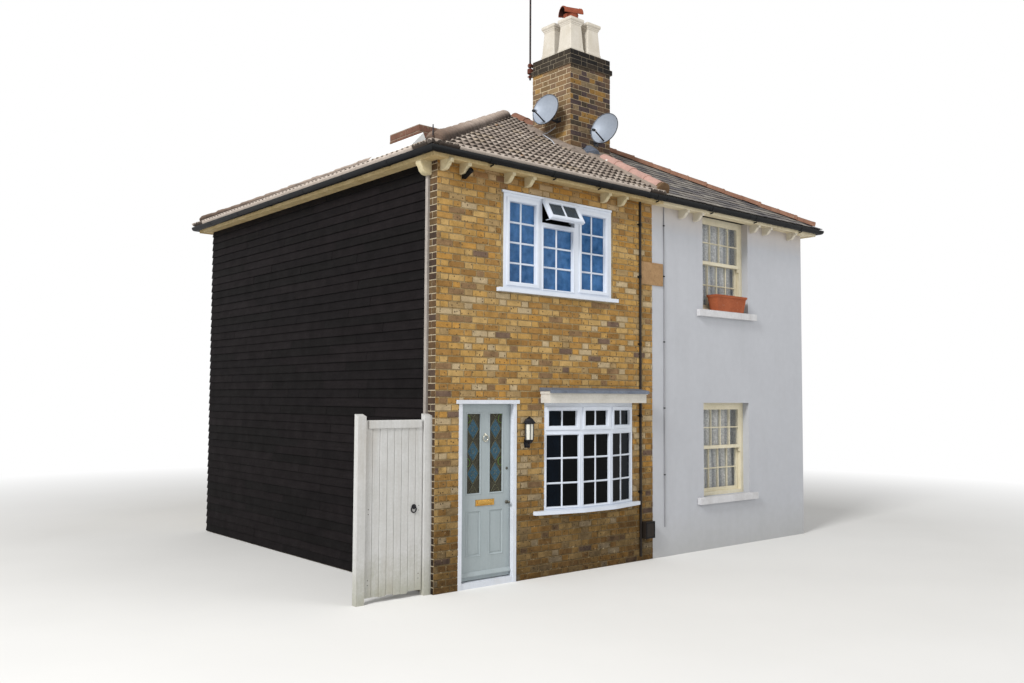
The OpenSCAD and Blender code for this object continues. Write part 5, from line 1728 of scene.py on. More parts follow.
@dataclass(frozen=True)
class Glazing:
    """Bars in front of and behind a sheet of glass, and the edges of the sash that holds it."""

    width: float = 0.023
    rise: float = 0.013
    thick: float = 0.016

    def bar(self, shape: Shape, place: Place, a: tuple[float, float], b: tuple[float, float], glass: float
            ) -> None:
        """One moulded bar on both sides of the glass, between two (x, z) points.

        Args:
            shape: The shape that it goes into.
            place: Directions on the surface.
            a: One end.
            b: The other end.
            glass: Where the outer side of the glass is.
        """
        start, end = place.at(a[0], 0, a[1]), place.at(b[0], 0, b[1])
        up = (end - start).normalized()
        line = Place(start, place.out.cross(up), place.out, up)
        w = self.width / 2
        for face, way in ((glass, 1), (glass - self.thick, -1)):
            outline = [(-w, face), (-w, face + way * 0.004), (-w * 0.45, face + way * self.rise),
                       (w * 0.45, face + way * self.rise), (w, face + way * 0.004), (w, face)]
            shape.skin([[line.at(x, o, z) for x, o in outline] for z in (0, (end - start).length)])

    def grid(self, shape: Shape, place: Place, x: tuple[float, float], z: tuple[float, float],
             uprights: Sequence[float], levels: Sequence[float], glass: float) -> None:
        """Bars at the given places across a light that spans x and z.

        Args:
            shape: The shape that it goes into.
            place: Directions on the surface.
            x: Left and right edge.
            z: Lower and upper edge.
            uprights: Places of the uprights.
            levels: Heights of the cross bars.
            glass: Where the outer side of the glass is.
        """
        for at in uprights:
            self.bar(shape, place, (at, z[0]), (at, z[1]), glass)
        for level in levels:
            self.bar(shape, place, (x[0], level), (x[1], level), glass)

    def edge(self, shape: Shape, place: Place, x: tuple[float, float], z: tuple[float, float], wide: float,
             face: float, rise: float, back: float) -> None:
        """A raised sash edge round a light, wide metres wide, with a bead down to the glass.

        Args:
            shape: The shape that it goes into.
            place: Directions on the surface.
            x: Left and right edge.
            z: Lower and upper edge.
            wide: Its width.
            face: Where its front is.
            rise: How far it stands out.
            back: Where its bead meets the glass.
        """
        shape.moulding((x[0] - wide, x[1] + wide), (z[0] - wide, z[1] + wide), [
            (0.0, face - 0.002), (0.0, face + rise * 0.7), (0.004, face + rise), (wide - 0.009, face + rise),
            (wide + 0.002, face + rise * 0.3), (wide + 0.007, back), (wide - 0.001, back)], place)

    def light(self, shape: Shape, place: Place, x: tuple[float, float], z: tuple[float, float],
              uprights: Sequence[float], levels: Sequence[float], glass: float,
              edge: tuple[float, float, float]) -> None:
        """Bars across a light, and the edge round it, given as its width, its face and its rise."""
        self.grid(shape, place, x, z, uprights, levels, glass)
        self.edge(shape, place, x, z, *edge, glass)


@dataclass(frozen=True)
class Windows:
    """Bars and sash edges of all windows, and the curtains of the rendered house."""

    glazing: Glazing = Glazing()
    upper_glass: float = -0.031
    fan: tuple[float, float, float] = (-2.055, -3.0582, 4.521)
    bow_x: float = -1.998
    bow: tuple[tuple[float, float], ...] = ((0, 0), (0.5205, -0.115), (1.0505, -0.115), (1.571, 0))
    bow_glass: float = -0.027
    sash_w: float = 1.09
    sash_glass: tuple[float, float] = (-0.126, -0.172)
    net_more: float = 0.08
    net_drop: float = 0.94

    def build(self) -> None:
        """Builds every window's parts."""
        self.upper()
        self.bay()
        self.sashes()
        self.curtains()

    def upper(self) -> None:
        """The wide white window over the bow, with its top light open."""
        shape, glazing = Shape(), self.glazing
        for x0, x1, bar in ((-2.565, -2.140, -2.3625), (-1.375, -0.938, -1.1635)):
            glazing.light(shape, STREET, (x0, x1), (3.492, 4.451), [bar], [3.722, 3.966, 4.206], self.upper_glass,
                          (0.046, 0.008, 0.011))
        glazing.light(shape, STREET, (-2.025, -1.519), (3.447, 4.207), [-1.7775], [3.72, 3.967], self.upper_glass,
                      (0.014, 0.008, 0.006))
        hinge, lean = Vector(self.fan), math.radians(30)
        up = Vector((0, math.sin(lean), math.cos(lean)))
        leaf = Place(hinge - up * 0.285, Vector((1, 0, 0)), Vector((1, 0, 0)).cross(up), up)
        glazing.light(shape, leaf, (0.046, 0.52), (0.046, 0.239), [0.283], [], 0.030, (0.038, 0.044, 0.007))
        for x in (0.09, 0.476):
            start = leaf.at(x, 0.0, 0.03)
            shape.tube([start, Vector((start.x, FRONT_Y + 0.01, 4.30))], 0.006, 6)
        shape.piece("upper_window_bars", [WHITE_FRAME], "white_frame", bevel=0.0012)

    def bay(self) -> None:
        """The bow window's three lights with their top lights."""
        shape, glazing = Shape(), self.glazing
        for (ax, ay), (bx, by) in zip(self.bow, self.bow[1:]):
            start, end = Vector((self.bow_x + ax, FRONT_Y + ay, 0)), Vector((self.bow_x + bx, FRONT_Y + by, 0))
            right, length = (end - start).normalized(), (end - start).length
            place = Place(start, right, right.cross(UP))
            for inset, z, levels, edge in ((0.034, (0.815, 1.685), [1.10, 1.40], (0.016, 0.0, 0.007)),
                                           (0.066, (1.786, 1.979), [], (0.046, 0.0, 0.013))):
                glazing.light(shape, place, (inset, length - inset), z, [length / 2], levels, self.bow_glass, edge)
        for x, y in self.bow[1:3]:
            side = Vector((self.bow_x + x, FRONT_Y + y, 0))
            shape.tube([side + Vector((0, 0.006, z)) for z in (0.79, 1.70)], 0.012, 8)
        shape.piece("bow_window_bars", [WHITE_FRAME], "white_frame", bevel=0.0012)

    def openings(self) -> list[tuple[Place, float, bool]]:
        """Each sash window: its lower left corner from outside, its height, and whether it faces the street."""
        found = []
        for foot, height in ((3.40, 1.375), (0.74, 1.33)):
            found.append((STREET.moved(1.078, 0, foot), height, True))
            for x in (-0.76, 1.85):
                found.append((Place.facing(x, -FRONT_Y, foot, ALONG_GARDEN), height, False))
        return found

    def sashes(self) -> None:
        """Four by two panes in each sash, with horns and pulls."""
        shape, glazing = Shape(), Glazing(0.018, 0.012)
        for place, height, _ in self.openings():
            x = (0.11, self.sash_w - 0.11)
            cuts = [x[0] + (x[1] - x[0]) * k / 4 for k in (1, 2, 3)]
            half = height / 2
            top, low = (half + 0.048, height - 0.098), (0.098, half)
            for z, glass in zip((top, low), self.sash_glass):
                glazing.grid(shape, place, x, z, cuts, [sum(z) / 2], glass)
            for a in (0.062, self.sash_w - 0.062 - 0.03):
                outline = [(a, half - 0.055), (a + 0.03, half - 0.055), (a + 0.03, half), (a, half)]
                shape.slab(outline, -0.150, -0.118, place)
        shape.piece("sash_window_bars", [SASH_PAINT], "cream_paint", bevel=0.001)

    def curtains(self) -> None:
        """Net curtains in soft folds behind the street sashes."""
        for number, (place, height, street) in enumerate(self.openings()):
            if not street:
                continue
            width, drop, shape = self.sash_w + 2 * self.net_more, height * self.net_drop, Shape()
            columns, rows = 72, 10
            for r in range(rows + 1):
                for c in range(columns + 1):
                    x = -self.net_more + width * c / columns
                    sway = 0.016 * math.sin(c * 0.65 + 0.6 * math.sin(r * 0.5)) * (0.6 + 0.4 * r / rows)
                    shape.points.append(place.at(x, -0.262 + sway, height - 0.03 - drop * r / rows))
            for r in range(rows):
                for c in range(columns):
                    a = r * (columns + 1) + c
                    shape.faces.append((a, a + columns + 1, a + columns + 2, a + 1))
                    shape.marks.append(0)
            rail = Shape().tube([place.at(-0.10, -0.25, height - 0.02), place.at(width - 0.06, -0.25, height - 0.02)],
                                0.009, 8)
            name = f"net_curtain_{number}"
            pole = rail.piece(name + "_rail", [WHITE_FRAME], "white_frame")
            cloth = shape.piece(name, [NET], "cream_paint", smooth=True)


# ---------------------------------------------------------------- front door


@dataclass(frozen=True)
class FrontDoor:
    """The half-glazed front door: mouldings, leaded lights and polished fittings."""

    face: float = -2.995
    thick: float = 0.044
    columns: tuple[float, float] = (-3.1295, -2.8005)
    lite_w: float = 0.204
    lite_z: tuple[float, float] = (1.03, 1.962)
    panel_z: tuple[float, float] = (0.34, 0.85)
    middle: float = -2.863

    def build(self) -> None:
        """Builds everything that turns with the door."""
        place = Place.facing(0, self.face, 0, ALONG_STREET)
        self.mouldings(place)
        self.leading(place)
        self.fittings(place)

    def mouldings(self, place: Place) -> None:
        """Beads round the lights, fielded lower panels on both faces and a weather bar.

        Args:
            place: Directions on the surface.
        """
        shape = Shape()
        inner = Place.facing(0, self.face + self.thick, 0, ALONG_GARDEN)
        for x in self.columns:
            for view, a in ((place, x), (inner, -x - self.lite_w)):
                span = (a, a + self.lite_w)
                shape.moulding((span[0] - 0.008, span[1] + 0.008), self.lite_z, [
                    (0.0, -0.001), (0.0, 0.003), (0.009, 0.0055), (0.017, 0.001), (0.018, -0.013), (0.007, -0.013)],
                    view)
                shape.moulding(span, self.panel_z, [
                    (-0.006, -0.001), (-0.004, 0.003), (0.004, 0.003), (0.014, -0.007), (0.014, -0.0095),
                    (-0.006, -0.0095)], view)
                low, high = self.panel_z
                rings = [[view.at(p, o, q) for p, q in ((span[0] + i, low + i), (span[1] - i, low + i),
                                                        (span[1] - i, high - i), (span[0] + i, high - i))]
                         for i, o in ((0.020, -0.010), (0.034, -0.0045), (0.036, -0.0045))]
                shape.skin(rings)
        shape.prism([(-0.001, 0.0), (0.020, 0.0), (0.022, 0.012), (0.006, 0.048), (-0.001, 0.052)],
                    -3.235, -2.491, place.moved(0, 0, 0.12))
        shape.piece("door_mouldings", [SAGE], "sage_paint", Body.DOOR, bevel=0.001)

    def leading(self, place: Place) -> None:
        """Two leaded lights: a chain of pointed diamonds, with roundels at the outer edge.

        Args:
            place: Directions on the surface.
        """
        shape = Shape()
        glass, came = -0.016, 0.0028
        height = self.lite_z[1] - self.lite_z[0]
        for number, x in enumerate(self.columns):
            mid, top = x + self.lite_w / 2, self.lite_z[1]
            shape.block((x, -0.028, self.lite_z[0]), (x + self.lite_w, glass, top), 0, place)
            half_w, half_h = 0.084, 0.120
            for k in range(-1, 4):
                centre = top - 0.189 - 0.252 * k
                for sx in (-1, 1):
                    path = []
                    for i in range(13):
                        t = -1 + 2 * i / 12
                        bulge = (1 - abs(t)) ** 0.85
                        z = centre + half_h * t
                        if self.lite_z[0] + 0.002 < z < top - 0.002:
                            path.append(place.at(mid + sx * half_w * bulge, glass + 0.001, z))
                    if len(path) > 1:
                        shape.tube(path, came, 6, 1)
                if k in (0, 1, 2):
                    self.jewel(shape, place, mid, centre, glass, k == 1)
                    for a, b in ((x + 0.002, mid - half_w), (mid + half_w, x + self.lite_w - 0.002)):
                        shape.tube([place.at(a, glass + 0.001, centre), place.at(b, glass + 0.001, centre)],
                                   came * 0.8, 6, 1)
            side = x + 0.02 if number == 0 else x + self.lite_w - 0.02
            for z in (top - 0.075, top - 0.567):
                arc = [place.at(min(max(side + 0.040 * math.cos(a), x + 0.004), x + self.lite_w - 0.004),
                                glass + 0.001, z + 0.047 * math.sin(a)) for a in around(18, 19)]
                shape.tube(arc, 0.0038, 6, 3)
            zig = [place.at(mid + (0.046 if i % 2 else -0.046), glass + 0.0005, top - 0.02 - height * 0.96 * i / 16)
                   for i in range(17)]
            shape.tube(zig, came * 0.5, 5, 1)
        shape.piece("leaded_lights", [LEADED, CAME, OVAL_BLUE, GREEN_GLASS], "leaded_glass", Body.DOOR,
                    replaces=["door_glass"])

    def jewel(self, shape: Shape, place: Place, x: float, z: float, glass: float, ring: bool) -> None:
        """A blue diamond of glass, with a ring or four petals in the middle.

        Args:
            shape: The shape that it goes into.
            place: Directions on the surface.
            x: Its middle along the door.
            z: Its height.
            glass: Where the outer side of the glass is.
            ring: Whether it has the ring.
        """
        outline = [(0, -0.108), (0.042, -0.052), (0.077, 0), (0.042, 0.052), (0, 0.108), (-0.042, 0.052), (-0.077, 0),
                   (-0.042, -0.052)]
        shape.skin([[place.at(x + a * k, o, z + b * k) for a, b in outline]
                    for k, o in ((1.0, glass - 0.001), (1.0, glass + 0.0005), (0.93, glass + 0.0015))], 2)
        if ring:
            shape.tube([place.at(x + 0.026 * math.cos(a), glass + 0.0015, z + 0.030 * math.sin(a))
                        for a in around(16, 17)], 0.003, 6, 1)
        else:
            for a in range(4):
                way = Vector((math.cos(math.pi * (a / 2 + 0.25)), math.sin(math.pi * (a / 2 + 0.25))))
                tip = place.at(x + 0.032 * way.x, glass + 0.0015, z + 0.038 * way.y)
                shape.tube([place.at(x, glass + 0.0015, z), tip], [0.001, 0.005], 6, 1)

    def fittings(self, place: Place) -> None:
        """Letter plate with its flap, ring knocker, keyhole cover and knob.

        Args:
            place: Directions on the surface.
        """
        shape = Shape()
        plate = place.moved(self.middle, 0, 0.90)
        shape.moulding((-0.1375, 0.1375), (0.0, 0.072), [(0, 0), (0.001, 0.005), (0.004, 0.0085), (0.009, 0.0085),
                                                       (0.013, 0.004), (0.013, 0.0)], plate)
        shape.block((-0.126, 0, 0.011), (0.126, 0.0035, 0.061), 0, plate)
        shape.prism([(0.003, 0.016), (0.010, 0.017), (0.011, 0.020), (0.008, 0.050), (0.012, 0.055), (0.010, 0.059),
                     (0.003, 0.059)], -0.108, 0.108, plate)
        shape.tube([plate.at(-0.112, 0.007, 0.058), plate.at(0.112, 0.007, 0.058)], 0.0032, 8)
        knock = place.moved(self.middle, 0, 1.667)
        ring = [knock.at(0.036 * math.sin(a), 0.012 + 0.004 * math.cos(a), 0.036 * math.cos(a))
                for a in around(24, 25)]
        shape.tube(ring, 0.0062, 10, 1)
        shape.tube([knock.at(0, 0, 0.038), knock.at(0, 0.006, 0.038), knock.at(0, 0.007, 0.038),
                    knock.at(0, 0.018, 0.038), knock.at(0, 0.022, 0.038)], [0.017, 0.017, 0.010, 0.011, 0.004], 14, 1)
        shape.tube([knock.at(0, 0, -0.036), knock.at(0, 0.006, -0.036)], [0.010, 0.006], 12, 1)
        knob = place.moved(-2.538, 0, 0.921)
        line = [knob.at(0, o, 0) for o in (0, 0.004, 0.006, 0.010, 0.026, 0.031, 0.040, 0.050, 0.057, 0.060)]
        shape.tube(line, [0.022, 0.022, 0.016, 0.008, 0.008, 0.015, 0.0175, 0.016, 0.010, 0.003], 18, 2)
        hole = place.moved(-2.536, 0, 1.31)
        shape.tube([hole.at(0, o, 0) for o in (0, 0.003, 0.005)], [0.0175, 0.0175, 0.0145], 18, 2)
        shape.tube([hole.at(0, o, 0) for o in (0.004, 0.0065)], [0.007, 0.0055], 12, 3)
        for z in (0.260, 1.060, 1.830):
            shape.tube([Vector((-3.2475, -2.942, z + h)) for h in (0.034, 0.062)], 0.009, 12)
        shape.piece("door_fittings", [BRASS, NICKEL, OLD_BRASS, BLACK_IRON], "brass_fittings", Body.DOOR,
                    replaces=["door_furniture"], bevel=0.0006, smooth=True)


# ---------------------------------------------------------------- gate, boards and wall fittings


@dataclass(frozen=True)
class SideGate:
    """The boarded side gate."""

    left: float = -4.441
    right: float = -3.719
    board_y: tuple[float, float] = (-2.980, -2.958)
    rail_y: tuple[float, float] = (-2.958, -2.934)
    foot: float = 0.045
    top: float = 1.888
    rails: tuple[float, ...] = (0.16, 0.885, 1.778)
    rail_h: float = 0.11
    boards: int = 8

    def build(self) -> None:
        """Boards with worn feet, rails, two braces and the top batten, then the nails."""
        shape, rng = Shape(), random.Random(5)
        pitch = (self.right - self.left) / self.boards
        for n in range(self.boards):
            x0, x1 = self.left + n * pitch + 0.0012, self.left + (n + 1) * pitch - 0.0012
            y0, y1 = self.board_y[0] + rng.uniform(0, 0.002), self.board_y[1]
            foot = self.foot + rng.uniform(0.0, 0.022)
            plan = [(x0 + 0.004, y0), (x1 - 0.004, y0), (x1, y0 + 0.004), (x1, y1), (x0, y1), (x0, y0 + 0.004)]
            shape.skin([[Vector((x, y, z)) for x, y in plan] for z in (foot, self.top - rng.uniform(0, 0.002))])
        for z in self.rails:
            (y0, y1), top = self.rail_y, z + self.rail_h
            plan = [(y0, z), (y0, top), (y1 - 0.006, top), (y1, top - 0.008), (y1, z + 0.008), (y1 - 0.006, z)]
            shape.skin([[Vector((x, y, h)) for y, h in plan] for x in (self.left + 0.002, self.right - 0.002)])
        for low, high in zip([z + self.rail_h for z in self.rails], self.rails[1:]):
            a, b = self.left + 0.05, self.right - 0.13
            plan = [(a, low), (a + 0.09, low), (b + 0.09, high), (b, high)]
            shape.skin([[Vector((x, y, z)) for x, z in plan]
                        for y in (self.rail_y[0] + 0.001, self.rail_y[1] - 0.004)])
        y = self.board_y[0]
        batten = [(y, 1.798), (y - 0.012, 1.800), (y - 0.014, 1.806), (y - 0.014, 1.876), (y - 0.010, 1.884),
                  (y, 1.884)]
        shape.skin([[Vector((x, y, z)) for y, z in batten] for x in (self.left + 0.034, self.right - 0.026)])
        shape.piece("gate_boards", [WHITE_WOOD], "white_wood", Body.GATE, replaces=["gate_leaf"], bevel=0.0015)
        screws = Shape()
        for z in self.rails:
            for n in (0, self.boards - 1):
                for h in (0.03, 0.08):
                    at = Vector((self.left + (n + 0.5) * pitch + 0.01 * (h - 0.05), self.board_y[0] + 0.0025, z + h))
                    if z + h < 1.79 or z < 1:
                        screws.tube([at, at + Vector((0, -0.0024, 0)), at + Vector((0, -0.0034, 0))],
                                    [0.005, 0.005, 0.0025], 8)
        screws.piece("gate_nails", [RUST_IRON], "black_iron", Body.GATE)


@dataclass(frozen=True)
class Boarding:
    """The tarred weatherboards of the left flank, with the pale board at their front edge."""

    front: float = -2.869
    exposure: float = 0.111
    lap: float = 0.02

    def build(self, laying: Laying) -> None:
        """Lays lapped boards with staggered butt joints.

        Args:
            laying: What lays the units.
        """
        place, length = Place.facing(-SIDE_X, 0, 0, ALONG_LEFT), self.exposure + self.lap
        start, end = FRONT_Y, -self.front
        units, rng, row, z = [], random.Random(8), 0, 0.012
        while z < EAVES_Z - 0.03:
            butts = [start + 1.0 + 1.35 * k + rng.uniform(-0.3, 0.3) + 0.6 * (row % 3) for k in range(3)]
            cuts = [c for c in sorted([start, end] + butts) if start <= c <= end]
            high = min(1.0, (EAVES_Z - z) / length)
            for a, b in zip(cuts, cuts[1:]):
                units.append(Unit(place.at(a + 0.0015, 0, z), place.turn(), (b - a - 0.003, 1.0, high)))
            row, z = row + 1, z + self.exposure
        board = Shape().skin([[Vector((x, 0.0, 0)), Vector((x, -0.021, 0)), Vector((x, -0.0235, 0.004)),
                               Vector((x, -0.006, length)), Vector((x, 0.0, length))]
                              for x in (0.0, 0.25, 0.5, 0.75, 1.0)])
        laid = laying.lay("lapped_boards", units, board, TARRED, 51, 0.0012, 0.0012)
        settle(laid, [TARRED], "tarred_boards", replaces=["weatherboarding"])
        plan = ((-SIDE_X, -2.917), (-3.642, -2.917), (-3.644, -2.914), (-3.644, -2.873), (-3.642, -2.870),
                (-SIDE_X, -2.870))
        post = Shape().skin([[Vector((x, y, z)) for x, y in plan] for z in (0.0, 1.2, 2.4, 3.6, EAVES_Z)])
        post.piece("corner_board", [CORNER_PAINT], "tarred_boards")


@dataclass(frozen=True)
class Lantern:
    """The black wall lantern with milky panes."""

    place: Place = STREET.moved(-2.291, 0, 1.530)

    def build(self) -> None:
        """A six-sided body between a bracket, a flared cap and a finial."""
        shape, pane = Shape(), Shape()
        body = self.place.moved(0, 0.064, 0)
        shape.spun([(0.016, 0.060), (0.034, 0.076), (0.050, 0.096), (0.053, 0.106), (0.048, 0.110)], body, 6)
        shape.spun([(0.050, 0.292), (0.066, 0.298), (0.078, 0.303), (0.079, 0.309), (0.066, 0.322), (0.056, 0.334),
                    (0.045, 0.352), (0.028, 0.364), (0.014, 0.370)], body, 6)
        shape.spun([(0.012, 0.366), (0.015, 0.373), (0.010, 0.379), (0.003, 0.384)], body, 12)
        for k in range(6):
            a = math.pi * k / 3
            x, o = math.cos(a), math.sin(a)
            shape.tube([body.at(0.050 * x, 0.050 * o, 0.106), body.at(0.054 * x, 0.054 * o, 0.298)], 0.0055, 6)
        pane.spun([(0.045, 0.104), (0.0475, 0.110), (0.0505, 0.292), (0.045, 0.297)], body, 6)
        arm = ((0, 0.07), (0, 0.045), (-0.012, 0.026), (-0.035, 0.020), (-0.052, 0.034), (-0.058, 0.060))
        curl = ((0, 0.052), (0.008, 0.030), (0.004, 0.012), (-0.010, 0.008), (-0.016, 0.018))
        shape.tube([body.at(0, o, z) for o, z in arm], [0.012, 0.010, 0.009, 0.009, 0.009, 0.010], 10)
        shape.tube([body.at(0, o, z) for o, z in curl], [0.007, 0.006, 0.005, 0.005, 0.006], 8)
        outline = [(-0.026, 0.012), (0.026, 0.012), (0.034, 0.05), (0.030, 0.10), (0.018, 0.135), (0, 0.15),
                   (-0.018, 0.135), (-0.030, 0.10), (-0.034, 0.05)]
        shape.slab(outline, 0.0, 0.010, self.place)
        shape.piece("lantern_case", [BLACK_IRON], "black_iron", replaces=["lantern"], bevel=0.0012)
        pane.piece("lantern_panes", [PALE_PANE], "black_iron")


@dataclass(frozen=True)
class Eaves:
    """Painted brackets under the soffit, and the clips and joints of the gutters."""

    reach: float = 0.166
    high: float = 0.118
    thick: float = 0.056
    pitch: float = 0.32
    pairs: tuple[float, ...] = (-3.44, -2.464, -0.844, 0.73, 2.412, 3.400)

    def profile(self, reach: float, high: float) -> list[tuple[float, float]]:
        """Side of a bracket, (out, z) from its foot on the wall: flat below, then stepped up to a square nose.

        Args:
            reach: How far it stands out.
            high: Its height.

        Returns:
            The outline.
        """
        curve = [(0.0, -1.0), (0.44, -0.97), (0.56, -0.86), (0.66, -0.68), (0.76, -0.58), (0.80, -0.44),
                 (0.86, -0.41), (0.97, -0.41), (1.0, -0.36), (1.0, -0.08), (0.96, 0.0), (0.0, 0.0)]
        return [(a * reach, b * high) for a, b in curve]

    def build(self) -> None:
        """Builds the brackets and the ironwork of the eaves."""
        shape = Shape()
        for middle in self.pairs:
            for side in ((-0.5, 0.5) if middle < 3.3 else (-0.5,)):
                x = middle + side * self.pitch
                first = x < -3.55
                place = STREET.moved(x - self.thick / 2 + (0.05 if first else 0.0), 0, EAVES_Z)
                outline = self.profile(self.reach * (1.16 if first else 1.0), self.high)
                shape.skin([[place.at(a, o * k, z * k) for o, z in outline]
                            for a, k in ((0.0, 0.95), (0.007, 1.0), (self.thick - 0.007, 1.0), (self.thick, 0.95))])
        flank = Place.facing(-SIDE_X, FRONT_Y + 0.19, EAVES_Z, ALONG_LEFT)
        outline = [(0.0, -0.155), (0.055, -0.158), (0.090, -0.148), (0.120, -0.120), (0.140, -0.075),
                   (0.166, -0.040), (0.166, 0.0), (0.0, 0.0)]
        shape.skin([[flank.at(a, o * k, z * k) for o, z in outline]
                    for a, k in ((0, 0.95), (0.008, 1), (0.082, 1), (0.09, 0.95))])
        shape.piece("carved_brackets", [CREAM], "cream_paint", replaces=["eaves_brackets"], smooth=True)
        self.straps()

    def straps(self) -> None:
        """Joints between the lengths of the gutters, and the clips that hold them on the street side."""
        def trough(radius: float) -> list[tuple[float, float]]:
            """The lower half of a circle about the gutter's middle, from the wall outwards."""
            angles = [math.pi * (1 + k / 12) for k in range(13)]
            return [(GUTTER_OUT + radius * math.cos(a), radius * math.sin(a)) for a in angles]
        shape, ends = Shape(), (-2.4, -1.4, -0.4, 0.6, 1.6, 2.6)
        runs = [Place.facing(x, FRONT_Y, GUTTER_Z, ALONG_STREET)
                for x in (-2.96, -2.03, -1.05, -0.32, 0.02, 0.95, 1.9, 2.85)]
        runs += [Place.facing(x, -FRONT_Y, GUTTER_Z, ALONG_GARDEN) for x in (-3.0, -2.0, -1.0, 0.0, 1.0, 2.0, 3.0)]
        runs += [Place.facing(-SIDE_X, y, GUTTER_Z, ALONG_LEFT) for y in ends]
        runs += [Place.facing(SIDE_X, y, GUTTER_Z, ALONG_RIGHT) for y in ends]
        for place in runs:
            outer = trough(0.0500)
            inner = [(GUTTER_OUT + (o - GUTTER_OUT) * 0.94, z + 0.004) for o, z in reversed(outer)]
            shape.prism(outer + inner, -0.018, 0.018, place)
        for x in (-2.989, -2.015, -1.238, -0.127, 1.048, 2.097, 3.306):
            place = STREET.moved(x, 0, GUTTER_Z)
            outer = [(0.165, 0.014)] + trough(0.0515) + [(0.269, 0.014), (0.262, 0.016), (0.262, 0.002)]
            inner = trough(0.0465)[::-1] + [(0.172, 0.014)]
            shape.prism(outer + inner, -0.062, 0.062, place)
            shape.block((-0.018, 0.150, -0.075), (0.018, 0.160, -0.02), 0, place)
            shape.tube([place.at(0, o, z) for o, z in ((0.156, -0.070), (0.185, -0.066), (GUTTER_OUT, -0.060))],
                       0.009, 8)
        shape.piece("gutter_clips", [BLACK], "black_plastic", smooth=True)


